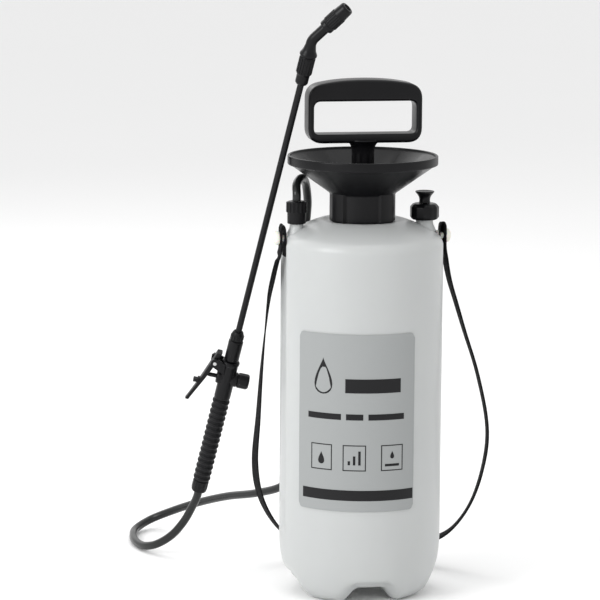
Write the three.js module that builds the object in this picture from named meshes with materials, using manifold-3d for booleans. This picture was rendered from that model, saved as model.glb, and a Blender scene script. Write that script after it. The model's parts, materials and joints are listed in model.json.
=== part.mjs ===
// A compression sprayer: a blow-moulded tank with a funnel collar, a hand pump with a D handle,
// a relief valve, a hose, and a lance with a trigger valve and an adjustable nozzle.
// Millimetres, +Z up. The origin is the middle of the object's footprint, at ground level,
// counted without the hose and the strap.
import * as THREE from 'three';
import { mergeVertices } from 'three/addons/utils/BufferGeometryUtils.js';
import Module from 'manifold-3d';

const wasm = await Module();
wasm.setup();

// ---------- fits ----------
const gap = 0.3;             // between pieces that touch
const runGap = 0.35;         // between a moving piece and what guides it

// ---------- tank ----------
const tankRadius = 81;
const drawnRadius = 81;      // the tank radius and wall height that the routes are drawn for
const drawnWallTopZ = 352.6;
const spread = tankRadius / drawnRadius;
const tankWall = 3;
const wallTopZ = 352.6;      // where the straight wall meets the shoulder
const shoulderRadius = 12;
const wallFootZ = 46;        // where the straight wall turns in to the feet
const footRingRadius = tankRadius - 22;
const archHeight = 15;
const sleeveRadius = 32.5;
const lobeRadius = sleeveRadius + 3.5;
const seatRadius = lobeRadius + 3;
const neckRadius = sleeveRadius - 5.5;
const neckWall = 4;

// The dome's arc runs on from the shoulder's; the flat seat round the neck is let into it.
const domeRadius = tankRadius + 60.5;
const shoulderCentre = tankRadius - shoulderRadius;
const domeCentreZ = wallTopZ - Math.sqrt((domeRadius - shoulderRadius) ** 2 - shoulderCentre ** 2);
const domeZ = (radius) => domeCentreZ + Math.sqrt(domeRadius ** 2 - radius ** 2);
const tangencyAngle = THREE.MathUtils.radToDeg(Math.atan2(wallTopZ - domeCentreZ, shoulderCentre));
const seatZ = domeZ(seatRadius + 4) - 1.32;
const drawnSeatZ = 376.5;
const seatRise = seatZ - drawnSeatZ;
const wallRise = wallTopZ - drawnWallTopZ;
const neckTopZ = seatZ + 13.5;

// ---------- spigots, studs ----------
const outletX = -66.5 * spread;
const outletSpigotRadius = 6.8;
const outletSpigotTopZ = seatZ - 2.5;
const outletBore = 4.2;
const reliefX = 63.3 * spread;
const reliefSpigotRadius = 8.5;
const reliefSpigotTopZ = seatZ + 7.5;
const reliefBore = 6.4;
const reliefPortRadius = 3.4;
const reliefCapDrop = 7.5;   // how far the cap reaches down its spigot
const reliefCapHeight = 16.2;
const reliefCapRoof = 6;
const reliefSeatZ = seatZ - 6.5;
const studZ = wallTopZ + 7.4;
const studHeadRadius = 7.2;
const studHeadThick = 6;
const studShankRadius = 3.2;
const studReach = tankRadius + 9;  // axis of the tank to the outer face of a stud
const flatX = tankRadius - 3.8;    // flat recess behind each stud
const flatHeight = 26;

// ---------- funnel collar ----------
const rimRadius = 75;
const rimTopZ = seatZ + 65.5;
const rimBand = 9.5;
const rimWall = 2.6;
const lobeHalfAngle = 14;    // degrees
const lobeFirstAngle = 34;   // degrees
const coneFootZ = seatZ + 27.5;
const ledgeThick = 3;
const throatRadius = neckRadius - 1;
const bowlFootZ = seatZ + 33.5;

// ---------- pump ----------
const cylinderRadius = neckRadius - 8;
const cylinderWall = 2;
const cylinderFootZ = 118;
const flangeThick = 3;
const gasketThick = 2;
const nutHeight = 10;
const rodRadius = 5;
const pistonFootZ = 142;
const pistonHeight = 12;
const guideLength = 18;

// ---------- handle ----------
const handleHalfWidth = 57.4;
const handleDepth = 27;
const handleTopZ = seatZ + 141.5;
const handleShoulderDrop = 6;
const handleFootZ = seatZ + 78.5;
const handleSide = 6;
const handleBottomBar = 9;
const handleTopBar = 21;
const shankRadius = 11.2;

// ---------- lance ----------
const lanceFoot = new THREE.Vector3(-143.6 * spread, 140 * spread, 76.3 + seatRise);
const lanceDirection = new THREE.Vector3(0.1608, -0.3448, 0.9248).normalize();
const triggerFacing = 11;    // degrees that the trigger's side is turned from the object's X
const tubeRadius = 3.25;
const tubeWall = 1;
const ferruleLength = 13.5;
const ferruleRadius = 8.25;
const gripRadius = 9;
const gripEnd = 112.5;       // distances along the lance from its foot
const valveEnd = 158;
const valveBodyRadius = 8.5;
const valveAxisAt = 137;
const pivotAt = 154;
const pivotOut = 16;
const leverEndAt = 104.5;
const leverEndOut = 34;
const leverTopAt = 164;
const socketEnd = 182.5;
const socketRadius = 7.5;
const lowerNutEnd = 192.5;
const upperNutFrom = 475;
const upperNutEnd = 506;
const elbowBendAt = 523;
const knobRadius = 8.15;
const knobFrom = 11;
const knobLength = 12;
const pinRadius = 1.48;
const pinReach = 7.9;        // from the lever's middle to each end of its pin
const socketNoseRadius = 5.2;
const lockDrop = 9;          // from the valve's axis down to the lock tab
const stemTipOut = 20.6;

// ---------- nozzle ----------
const nozzleTurn = 32;       // degrees between lance and nozzle
const elbowPipeRadius = 5.3;
const nozzleFrom = 18.5;     // distances from the bend along the nozzle
const nozzleEnd = 49;
const nozzleRadius = 8;

// ---------- hose and strap ----------
const hoseRadius = 4.25;
const strapWidth = 15;
const strapThick = 1.6;
const hosePoints = [
  [-66.5, 0, 397.5], [-66.5, 0, 404], [-65.5, 7, 412], [-61.5, 15, 416.2], [-56.5, 24, 416.6], [-52, 34,
  411.5],
  [-48.5, 44, 401], [-46, 53, 388], [-45, 62, 375.5], [-44.5, 70.5, 362], [-43, 76.5, 345], [-40, 79, 318],
  [-37, 80, 285], [-35, 81, 240], [-34, 82, 190], [-35, 86, 145], [-42, 98, 108], [-57, 124, 82],
  [-78, 160, 67],
  [-103, 207, 54], [-128, 252, 38], [-152, 286, 22], [-174, 296, 11], [-191, 280, 5.5], [-198, 250, 4.8],
  [-199, 220, 4.8], [-193, 194, 6], [-182, 176, 12], [-168, 164, 24], [-156.5, 156.5, 40],
  [-149.5, 150.5, 55],
];
const strapPoints = [
  [-80.6, 0, 355.6], [-81.3, 1, 348], [-84.8, 6, 336], [-87, 14, 320], [-89, 27, 296], [-90.5, 40, 262],
  [-92, 55, 215],
  [-93, 68, 165], [-94, 80, 118], [-88, 92, 84], [-74, 104, 54], [-54, 114, 30], [-28, 121, 13],
  [4, 124, 9], [36, 120, 9], [66, 108, 14], [90, 88, 26], [108, 66, 42], [124, 44, 74], [134, 30, 116],
  [136, 22, 156], [124, 17, 214], [108, 13, 262], [98, 9, 292], [91, 6, 313], [86, 3, 334], [81.5, 0.5,
  348],
  [80.6, 0, 355.6],
];

// A drawn route, moved out with the tank's wall and up with what it hangs from.
const fitted = (points, rise) => points.map(([x, y, z]) =>
  [x * spread, y * spread, z + rise * THREE.MathUtils.clamp((z - 50) / 250, 0, 1)]);
const hoseRoute = fitted(hosePoints, seatRise);
const strapRoute = fitted(strapPoints, wallRise);

// ---------- label ----------
const labelMiddle = -104.6;   // degrees round the tank
const labelHalfAngle = 44;
const labelFootZ = 97;
const labelTopZ = 274;
const labelThick = 0.6;

// ---------- colours ----------
const finish = (color, roughness, metalness = 0, extra = {}) =>
  () => new THREE.MeshStandardMaterial({ color, roughness, metalness, ...extra });
const tankWhite = finish(0xe6e8e4, 0.42, 0, { transparent: true, opacity: 0.9 });
const blackPlastic = finish(0x101111, 0.45);
const satinBlack = finish(0x161717, 0.55);
const hoseGrey = finish(0x3c3f3d, 0.4);
const webbing = finish(0x121212, 0.9);
const studWhite = finish(0xdcdcd2, 0.5);
const sealRubber = finish(0x1b1b1b, 0.7);
const steel = finish(0xb8bab8, 0.3, 1);
const innerPlastic = finish(0xd9dad3, 0.5);
const labelFilm = finish(0x8f9391, 0.5);

// ---------- making solids ----------
const UP = new THREE.Vector3(0, 0, 1);

function toSolid(geometry) {
  const bare = geometry.index ? geometry.toNonIndexed() : geometry.clone();
  for (const name of Object.keys(bare.attributes)) {
    if (name !== 'position') bare.deleteAttribute(name);
  }
  const merged = mergeVertices(bare, 1e-4);
  const corners = merged.index.array;
  const kept = [];
  for (let i = 0; i < corners.length; i += 3) {
    const [a, b, c] = [corners[i], corners[i + 1], corners[i + 2]];
    if (a !== b && b !== c && a !== c) kept.push(a, b, c);
  }
  return new wasm.Manifold(new wasm.Mesh({
    numProp: 3,
    vertProperties: new Float32Array(merged.attributes.position.array),
    triVerts: new Uint32Array(kept),
  }));
}

function toGeometry(solid) {
  const mesh = solid.getMesh();
  const geometry = new THREE.BufferGeometry();
  geometry.setAttribute('position', new THREE.BufferAttribute(new Float32Array(mesh.vertProperties), 3));
  geometry.setIndex(new THREE.BufferAttribute(new Uint32Array(mesh.triVerts), 1));
  geometry.computeVertexNormals();
  return geometry;
}

const join = (...solids) => solids.reduce((whole, next) => whole.add(next));
const cut = (whole, ...tools) => tools.reduce((rest, tool) => rest.subtract(tool), whole);

// A profile of [radius, z] points turned about Z; the outline runs so that the faces point outwards.
function turned(profile, sides = 12) {
  let area = 0;
  profile.forEach(([r, z], i) => {
    const [nextR, nextZ] = profile[(i + 1) % profile.length];
    area += r * nextZ - nextR * z;
  });
  const ordered = area > 0 ? [...profile] : [...profile].reverse();
  const onAxis = ordered[0][0] === 0 && ordered[ordered.length - 1][0] === 0;
  const points = ordered.map(([r, z]) => new THREE.Vector2(r, z));
  if (!onAxis) points.push(points[0].clone());
  return toSolid(new THREE.LatheGeometry(points, sides).rotateX(Math.PI / 2));
}

const rod = (radius, from, to, sides = 12) => turned([[0, from], [radius, from], [radius, to], [0, to]],
  sides);
const tube = (outer, inner, from, to, sides = 12) =>
  turned([[inner, from], [outer, from], [outer, to], [inner, to]], sides);
const block = (x, y, z, at = [0, 0, 0]) => toSolid(new THREE.BoxGeometry(x, y, z).translate(...at));

// A flat outline raised along Z.
function raised(outline, from, to) {
  const shape = new THREE.Shape(outline.map(([x, y]) => new THREE.Vector2(x, y)));
  const geometry = new THREE.ExtrudeGeometry(shape, { depth: to - from, bevelEnabled: false });
  return toSolid(geometry.translate(0, 0, from));
}

// A section swept along a route.
function swept(section, curve, steps) {
  const shape = new THREE.Shape(section.map(([x, y]) => new THREE.Vector2(x, y)));
  return toSolid(new THREE.ExtrudeGeometry(shape, { steps, bevelEnabled: false, extrudePath: curve }));
}

const circle = (radius, sides) => Array.from({ length: sides }, (_, i) => {
  const angle = (i / sides) * 2 * Math.PI;
  return [radius * Math.cos(angle), radius * Math.sin(angle)];
});

// A round outline whose radius swings between two values, for ribs and flutes.
const fluted = (radius, depth, count, perFlute = 2) => Array.from({ length: count * perFlute }, (_, i) => {
  const angle = (i / (count * perFlute)) * 2 * Math.PI;
  const outward = i % perFlute < perFlute / 2;
  return [(outward ? radius : radius - depth) * Math.cos(angle),
    (outward ? radius : radius - depth) * Math.sin(angle)];
});

const arc = (centreR, centreZ, radius, fromDegrees, toDegrees, steps) =>
  Array.from({ length: steps + 1 }, (_, i) => {
    const angle = THREE.MathUtils.degToRad(fromDegrees + ((toDegrees - fromDegrees) * i) / steps);
    return [centreR + radius * Math.cos(angle), centreZ + radius * Math.sin(angle)];
  });

function spring(radius, wire, from, to, turns) {
  class Helix extends THREE.Curve {
    getPoint(t) {
      const angle = t * turns * 2 * Math.PI;
      return new THREE.Vector3(radius * Math.cos(angle), radius * Math.sin(angle),
        from + wire + (to - from - 2 * wire) * t);
    }
  }
  return swept(circle(wire, 5), new Helix(), turns * 8);
}

function piece(name, solid, material, parent, at = [0, 0, 0]) {
  const mesh = new THREE.Mesh(toGeometry(solid), material());
  mesh.name = name;
  mesh.position.set(...at);
  parent.add(mesh);
  return mesh;
}

// ---------- tank ----------
// Height of the underside, lifted between the four feet by smooth arches.
function archLift(angle, radius) {
  const fromArch = Math.abs(((angle / (Math.PI / 2)) % 1 + 1.5) % 1 - 0.5) * 90;
  const across = THREE.MathUtils.smoothstep(fromArch, 12, 30);
  const risingIn = THREE.MathUtils.smoothstep(radius, 22, 40);
  const fallingOut = 1 - THREE.MathUtils.smoothstep(radius, tankRadius - 15, tankRadius - 0.1);
  return archHeight * (1 - across) * risingIn * fallingOut;
}

function tankShell() {
  const outerDome = 62 * spread;
  const innerDome = 52 * spread;
  const outerFeet = [[0, 13], [22, 12], [40, 5], [footRingRadius - 7, 0], [footRingRadius + 2, 0],
    [tankRadius - 10, 9], [tankRadius - 4, 24], [tankRadius, wallFootZ]];
  const outer = [...outerFeet, ...arc(shoulderCentre, wallTopZ, shoulderRadius, 0, tangencyAngle, 4),
    [outerDome, domeZ(outerDome)], [innerDome, domeZ(innerDome)], [seatRadius + 4, domeZ(seatRadius + 4)],
    [seatRadius, seatZ + 1.5], [seatRadius - 1.5, seatZ], [neckRadius, seatZ], [neckRadius, neckTopZ],
    [neckRadius - neckWall, neckTopZ]];
  const under = seatZ - tankWall;
  const inner = [[neckRadius - neckWall, under], [seatRadius, under - 1],
    [innerDome, domeZ(innerDome) - tankWall],
    [outerDome, domeZ(outerDome) - tankWall - 0.4],
    ...arc(shoulderCentre, wallTopZ, shoulderRadius - tankWall, tangencyAngle, 0, 3),
    [tankRadius - tankWall, wallFootZ + 1], [tankRadius - 7, 24], [tankRadius - 13, 13],
    [footRingRadius - 2, tankWall],
    [40, 5 + tankWall], [0, 13 + tankWall]];
  const profile = [...outer, ...inner];
  const sides = 24;
  const positions = [];
  const point = (i, j) => {
    const angle = (j / sides) * 2 * Math.PI;
    const [r, z] = profile[i];
    const lift = z < wallFootZ ? archLift(angle, r) : 0;
    return [r * Math.cos(angle), r * Math.sin(angle), z + lift];
  };
  for (let i = 0; i + 1 < profile.length; i += 1) {
    for (let j = 0; j < sides; j += 1) {
      const [a, b, c, d] = [point(i, j), point(i + 1, j), point(i + 1, (j + 1) % sides), point(i,
        (j + 1) % sides)];
      positions.push(...a, ...c, ...b, ...a, ...d, ...c);
    }
  }
  const geometry = new THREE.BufferGeometry();
  geometry.setAttribute('position', new THREE.BufferAttribute(new Float32Array(positions), 3));
  return toSolid(geometry);
}

function tankSolid() {
  const sink = 8;
  const spigot = (x, radius, top) => rod(radius, domeZ(Math.abs(x)) - sink, top, 12).translate([x, 0, 0]);
  const pads = [-1, 1].map((side) => block(6, 34, flatHeight + 8, [side * (flatX - 3.2), 0, studZ - 8]));
  const flats = [-1, 1].map((side) => raised(
    [[flatX, studZ - 25], [flatX + 12, studZ - 37], [flatX + 12, studZ + 12], [flatX, studZ + 4]], -12, 12)
    .rotate([90, 0, 0]).rotate([0, 0, side > 0 ? 0 : 180]));
  const shell = join(tankShell(), ...pads,
    spigot(outletX, outletSpigotRadius, outletSpigotTopZ),
    spigot(reliefX, reliefSpigotRadius, reliefSpigotTopZ));
  const deep = 30;
  return cut(shell, ...flats,
    rod(outletBore, outletSpigotTopZ - deep, outletSpigotTopZ + 1, 12).translate([outletX, 0, 0]),
    rod(reliefPortRadius, reliefSpigotTopZ - deep, reliefSpigotTopZ, 12).translate([reliefX, 0, 0]),
    rod(reliefBore, reliefSeatZ, reliefSpigotTopZ + 1, 12).translate([reliefX, 0, 0]));
}

// ---------- fixed pieces on the tank ----------
function funnelCollar() {
  const rimFootZ = rimTopZ - rimBand;
  const ledgeZ = neckTopZ + gap + gasketThick + gap;
  const bowl = turned([
    [neckRadius + gap + 0.2, seatZ + gap], [sleeveRadius, seatZ + gap], [sleeveRadius, coneFootZ],
    [rimRadius - 1.5, rimFootZ + 1.5], [rimRadius, rimFootZ], [rimRadius, rimTopZ - 0.8],
    [rimRadius - 0.8, rimTopZ],
    [rimRadius - rimWall, rimTopZ], [rimRadius - rimWall, rimTopZ - 2], [throatRadius + 2, bowlFootZ],
    [throatRadius, bowlFootZ - 2], [throatRadius, ledgeZ + ledgeThick],
    [cylinderRadius + 2, ledgeZ + ledgeThick],
    [cylinderRadius + 2, ledgeZ], [neckRadius + gap + 0.2, ledgeZ],
  ], 24);
  const lobe = (centre) => {
    const edge = [-1, -0.5, 0.5, 1].map((share) =>
      THREE.MathUtils.degToRad(centre + share * lobeHalfAngle));
    const outline = edge.map((angle) => [lobeRadius * Math.cos(angle), lobeRadius * Math.sin(angle)]);
    const inside = [edge[3], edge[0]].map((angle) => [
      (sleeveRadius - 3) * Math.cos(angle), (sleeveRadius - 3) * Math.sin(angle)]);
    return raised([...outline, ...inside], seatZ + gap, coneFootZ + 3);
  };
  return join(bowl, ...[0, 1, 2, 3].map((quarter) => lobe(lobeFirstAngle + 90 * quarter)));
}

function strapStud(side) {
  const inner = flatX + gap;
  const head = studReach - studHeadThick;
  return turned([[0, inner], [studShankRadius, inner], [studShankRadius, head],
    [studHeadRadius, head + 0.6],
    [studHeadRadius, head + 2], ...arc(studHeadRadius - 4, head + studHeadThick - 4, 4, 0, 90, 3),
    [0, studReach]], 12).rotate([0, side * 90, 0]).translate([0, 0, studZ]);
}

const hoseNutTopZ = hoseRoute[0][2] - 2 * gap;

function outletNut() {
  const foot = outletSpigotTopZ + gap;
  const skirt = rod(9.3, foot, foot + 11, 12);
  const ribbed = raised(fluted(10.1, 0.8, 12), foot + 10, hoseNutTopZ - 1);
  const top = rod(9, hoseNutTopZ - 1.2, hoseNutTopZ, 12);
  return cut(join(skirt, ribbed, top), rod(7.4, foot - 1, hoseNutTopZ - 3, 12), rod(3.2, foot,
    hoseNutTopZ + 1, 12))
    .translate([outletX, 0, 0]);
}

function outletFitting() {
  const top = hoseNutTopZ - 3 - gap;
  return turned([[2, outletSpigotTopZ - 22], [outletBore - gap, outletSpigotTopZ - 22],
    [outletBore - gap, outletSpigotTopZ + gap + 2.6], [6.8, outletSpigotTopZ + gap + 2.6],
    [6.8, top - 4], [4, top - 2],
    [4, top], [2, top]], 12).translate([outletX, 0, 0]);
}

const dipFootZ = 36;
const dipTopZ = outletSpigotTopZ - 22 - gap;

function reliefCap() {
  const foot = reliefSpigotTopZ - reliefCapDrop;
  const top = foot + reliefCapHeight;
  const faceted = cut(
    turned([[0, foot], [12.6, foot], [14.6, foot + 2.6], [14.6, top - 3.4], [11.8, top], [0, top]], 12),
    rod(reliefSpigotRadius + gap, foot - 1, top - reliefCapRoof, 12), rod(3.4, foot, top + 1, 12));
  return faceted.translate([reliefX, 0, 0]);
}
const reliefCapTopZ = reliefSpigotTopZ - reliefCapDrop + reliefCapHeight;
const reliefRoofZ = reliefCapTopZ - reliefCapRoof;

function reliefStem() {
  const knobFoot = reliefCapTopZ + gap;
  const knobTop = knobFoot + 12;
  const collar = reliefSeatZ + 2 + gap * 2;
  return turned([[0, collar], [5, collar], [5, collar + 1.6], [2.2, collar + 1.6], [2.2, knobFoot],
    [5.6, knobFoot],
    [5.5, knobFoot + 2.5], [6.4, knobFoot + 6], [8, knobFoot + 9], [9.6, knobTop - 1.4],
    [9.6, knobTop - 0.5],
    [9, knobTop], [6, knobTop - 0.8], [0, knobTop - 0.8]], 12).translate([reliefX, 0, 0]);
}
const reliefSpringFoot = reliefSeatZ + 2 + gap * 2 + 1.6 + gap;

// ---------- pump ----------
const ledgeTopZ = neckTopZ + gap + gasketThick + gap + ledgeThick;
const flangeZ = ledgeTopZ + gap + gasketThick + gap;
const nutZ = flangeZ + flangeThick + gap;
const nutTopZ = nutZ + nutHeight;
const shankFootZ = nutTopZ + gap + 0.5;
const boreRadius = cylinderRadius - cylinderWall;

function pumpCylinder() {
  const body = turned([[0, cylinderFootZ], [cylinderRadius, cylinderFootZ], [cylinderRadius, flangeZ],
    [throatRadius - 1, flangeZ], [throatRadius - 1, flangeZ + flangeThick],
    [boreRadius, flangeZ + flangeThick],
    [boreRadius, cylinderFootZ + 3], [0, cylinderFootZ + 3]], 12);
  const ports = [0, 1, 2, 3].map((i) => rod(2, cylinderFootZ - 1, cylinderFootZ + 4, 10)
    .translate([8 * Math.cos((i * Math.PI) / 2), 8 * Math.sin((i * Math.PI) / 2), 0]));
  return cut(body, rod(2.3, cylinderFootZ - 1, cylinderFootZ + 4, 12), ...ports);
}

function checkValve() {
  return turned([[0, cylinderFootZ - gap - 1.6], [12, cylinderFootZ - gap - 1.2], [12, cylinderFootZ - gap],
    [1.9, cylinderFootZ - gap], [1.9, cylinderFootZ + 3 + gap], [3.4, cylinderFootZ + 3 + gap],
    [1.4, cylinderFootZ + 7], [0, cylinderFootZ + 7]], 12);
}

function pumpNut() {
  const ring = tube(throatRadius - 0.6, shankRadius + 3, nutZ, nutTopZ, 36);
  const lugs = [0, 1, 2, 3].map((i) => block(4, 5, nutHeight, [shankRadius + 2.6, 0, nutZ + nutHeight / 2])
    .rotate([0, 0, 45 + i * 90]));
  return join(ring, ...lugs);
}

function rodGuide() {
  const top = flangeZ + flangeThick - 0.5;
  return turned([[rodRadius + runGap, top - guideLength], [boreRadius - gap, top - guideLength],
    [boreRadius - gap, top - 3],
    [boreRadius - gap, top], [rodRadius + runGap, top]], 12);
}
const guideTopZ = flangeZ + flangeThick - 0.5;

const pinZ = shankFootZ + 14;
function pumpRod() {
  const top = handleFootZ - 8;
  return cut(rod(rodRadius, pistonFootZ - 6, top, 12),
    rod(1.9, -20, 20, 12).rotate([0, 90, 0]).translate([0, 0, pinZ]));
}

function piston() {
  return turned([[rodRadius + gap, pistonFootZ], [boreRadius - 1, pistonFootZ],
    [boreRadius - 1, pistonFootZ + 4],
    [boreRadius - 4, pistonFootZ + 4], [boreRadius - 4, pistonFootZ + 8], [boreRadius - 1, pistonFootZ + 8],
    [boreRadius - 1, pistonFootZ + pistonHeight], [rodRadius + gap, pistonFootZ + pistonHeight]], 12);
}

function pumpHandle() {
  const half = handleHalfWidth;
  const shoulder = handleTopZ - handleShoulderDrop;
  const round = 12;
  const outline = [
    ...arc(-half + round, handleFootZ + round, round, 270, 180, 3),
    ...arc(-half + round, shoulder - round, round, 180, 100, 3),
    [-half / 3, handleTopZ - 0.7], [0, handleTopZ], [half / 3, handleTopZ - 0.7],
    ...arc(half - round, shoulder - round, round, 80, 0, 3),
    ...arc(half - round, handleFootZ + round, round, 360, 270, 3),
  ];
  const innerHalf = half - handleSide;
  const innerFoot = handleFootZ + handleBottomBar;
  const innerTop = handleTopZ - handleTopBar;
  const innerRound = 5;
  const opening = [
    ...arc(-innerHalf + innerRound, innerFoot + innerRound, innerRound, 270, 180, 2),
    ...arc(-innerHalf + innerRound, innerTop - innerRound, innerRound, 180, 90, 2),
    ...arc(innerHalf - innerRound, innerTop - innerRound, innerRound, 90, 0, 2),
    ...arc(innerHalf - innerRound, innerFoot + innerRound, innerRound, 360, 270, 2),
  ];
  const shape = new THREE.Shape(outline.map(([x, z]) => new THREE.Vector2(x, z)).reverse());
  shape.holes.push(new THREE.Path(opening.map(([x, z]) => new THREE.Vector2(x, z))));
  const bevel = 2.2;
  const loop = toSolid(new THREE.ExtrudeGeometry(shape, {
    depth: handleDepth - 2 * bevel, bevelEnabled: true, bevelSize: bevel, bevelOffset: -bevel,
      bevelThickness: bevel,
    bevelSegments: 1,
  }).translate(0, 0, -handleDepth / 2 + bevel).rotateX(Math.PI / 2));
  const shank = join(raised(fluted(shankRadius, 0.9, 10), shankFootZ, handleFootZ - 6),
    turned([[0, handleFootZ - 8], [shankRadius, handleFootZ - 8], [shankRadius + 1, handleFootZ - 3],
      [shankRadius + 4, handleFootZ + 1], [0, handleFootZ + 1]], 12));
  return cut(join(loop, shank), rod(rodRadius + gap, shankFootZ - 1, handleFootZ - 8 + gap, 12),
    rod(2, -30, 30, 12).rotate([0, 90, 0]).translate([0, 0, pinZ]));
}

// ---------- trigger valve and grip, built along Z from the lance's foot ----------
function gripEndCap() {
  return cut(join(turned([[0, 0], [ferruleRadius - 1, 0], [ferruleRadius, 1.2], [ferruleRadius, 5],
    [0, 5]], 12),
    raised(fluted(ferruleRadius, 0.5, 14), 4, ferruleLength)), rod(6.2, 3, ferruleLength + 1, 12), rod(3,
      -1, 4, 12));
}

function hoseBarb() {
  return turned([[1.8, 3 + gap], [5.8, 3 + gap], [5.8, 6], [4.4, 7], [4.4, 11], [5.8, 12.5],
    [5.8, ferruleLength + 6],
    [1.8, ferruleLength + 6]], 12);
}

function gripSleeve() {
  const from = ferruleLength + gap;
  const rings = 3;
  const outline = [[gripRadius - 2.4, from], [gripRadius, from]];
  for (let i = 0; i < rings; i += 1) {
    const z = from + (gripEnd - from) * (0.25 + 0.25 * i);
    outline.push([gripRadius, z - 1.5], [gripRadius - 0.9, z], [gripRadius, z + 1.5]);
  }
  outline.push([gripRadius, gripEnd], [gripRadius - 2.4, gripEnd]);
  return turned(outline, 18);
}

function valveBody() {
  const tubeFrom = ferruleLength + 6 + gap;
  const stem = tube(gripRadius - 2.4 - gap, 3.4, tubeFrom, gripEnd + 8, 12);
  const barrel = turned([[3.4, gripEnd + gap], [valveBodyRadius, gripEnd + gap],
    [valveBodyRadius, valveEnd - 4],
    [valveBodyRadius + 0.7, valveEnd - 3.4], [valveBodyRadius + 0.7, valveEnd - 1.4],
    [valveBodyRadius - 0.6, valveEnd],
    [3.4, valveEnd]], 12);
  const boss = rod(7.4, -11, knobFrom - gap, 12).rotate([0, 90, 0]).translate([0, 0, valveAxisAt]);
  const ears = [-1, 1].map((side) => raised(
    [[-pivotOut - 4, pivotAt - 4], [-pivotOut - 4, pivotAt + 3], [-pivotOut, pivotAt + 5],
    [-4, pivotAt + 1],
      [-4, pivotAt - 11], [-8, pivotAt - 9]], -1.3, 1.3).rotate([90, 0, 0]).translate([0, side * 6.6, 0]));
  const across = (radius, from, to, sides = 20) =>
    rod(radius, from, to, sides).rotate([0, 90, 0]).translate([0, 0, valveAxisAt]);
  const pinHole = rod(pinRadius + 0.07, -12, 12, 14).rotate([90, 0, 0]).translate([-pivotOut, 0, pivotAt]);
  return cut(join(stem, barrel, boss, ...ears), across(2.2 + runGap, -14, 14), across(5, -2, 14), pinHole);
}

function valveCap() {
  const top = knobFrom + knobLength;
  const knob = turned([[0, knobFrom], [knobRadius - 0.6, knobFrom], [knobRadius, knobFrom + 1],
    [knobRadius, top - 1.6],
    [knobRadius - 1.4, top], [0, top]], 12);
  return cut(knob, rod(5.4, knobFrom - 1, top - 2.4, 12)).rotate([0, 90, 0]).translate([0, 0, valveAxisAt]);
}

const lockAt = valveAxisAt - lockDrop;
function valveStem() {
  return turned([[0, -stemTipOut], [1.6, -stemTipOut + 0.5], [2.2, -stemTipOut + 1.6], [2.2, 0],
    [4.2, 0], [4.2, 1.4],
    [2.8, 1.4], [2.8, 3.2], [4.2, 3.2], [4.2, 5], [1.6, 5], [1.6, 9], [0, 9]], 12).rotate([0, 90, 0])
    .translate([0, 0, valveAxisAt]);
}

const leverSlope = (leverEndOut - pivotOut) / (pivotAt - leverEndAt);
const outAt = (z) => pivotOut + leverSlope * (pivotAt - z);

function triggerLever() {
  const slab = raised([[-outAt(leverTopAt) - 3, leverTopAt], [-outAt(leverTopAt) + 2.5, leverTopAt],
    [-pivotOut + 3.6, pivotAt],
    [-outAt(valveAxisAt) + 0.2, valveAxisAt], [-leverEndOut + 1.4, leverEndAt + 1],
    [-leverEndOut - 1.4, leverEndAt],
    [-leverEndOut - 3.2, leverEndAt + 1.6], [-outAt(valveAxisAt) - 2.2, valveAxisAt],
    [-pivotOut - 3.6, pivotAt]], -5, 5)
    .rotate([90, 0, 0]);
  return cut(slab, rod(pinRadius + runGap, -8, 8, 14).rotate([90, 0, 0]).translate([-pivotOut, 0, pivotAt]),
    block(30, 7.4, 8, [-outAt(lockAt) - 13.6, 0, lockAt]));
}

function triggerLock() {
  const out = -outAt(lockAt) - 2.6;
  return join(block(5, 6.4, 3.4, [out - 2.6, 0, lockAt]), block(2, 6.4, 6.4, [out - 0.2, 0, lockAt]));
}

// ---------- lance tube, nuts, elbow and nozzle ----------
const tubeFrom = valveEnd + 9;
const tubeTo = upperNutEnd - 12;

function lanceSocket() {
  return turned([[3, valveEnd + gap], [socketRadius, valveEnd + gap], [socketRadius, socketEnd],
    [socketNoseRadius, socketEnd], [socketNoseRadius, socketEnd + 4], [tubeRadius + gap, socketEnd + 4],
    [tubeRadius + gap, tubeFrom - gap],
    [3, tubeFrom - gap]], 12);
}

function lowerNut() {
  const foot = socketEnd + gap;
  const grip = raised(fluted(6.9, 0.6, 10), foot, foot + 6);
  const nose = turned([[0, foot + 5.8], [6.3, foot + 5.8], [5, lowerNutEnd], [0, lowerNutEnd]], 12);
  return cut(join(grip, nose), rod(socketNoseRadius + gap, foot - 1, socketEnd + 6, 12),
    rod(tubeRadius + gap, foot, lowerNutEnd + 1, 12));
}

function upperNut() {
  const ribFrom = upperNutFrom + 11;
  const collar = turned([[0, upperNutFrom], [5, upperNutFrom], [6.5, upperNutFrom + 2],
    [6.5, ribFrom + 0.5], [0, ribFrom + 0.5]],
    28);
  const ribs = raised(fluted(8, 0.8, 14), ribFrom, upperNutEnd);
  return cut(join(collar, ribs), rod(tubeRadius + gap, upperNutFrom - 1, upperNutEnd, 12),
    rod(6, tubeTo + gap, upperNutEnd + 1, 12));
}

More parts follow.
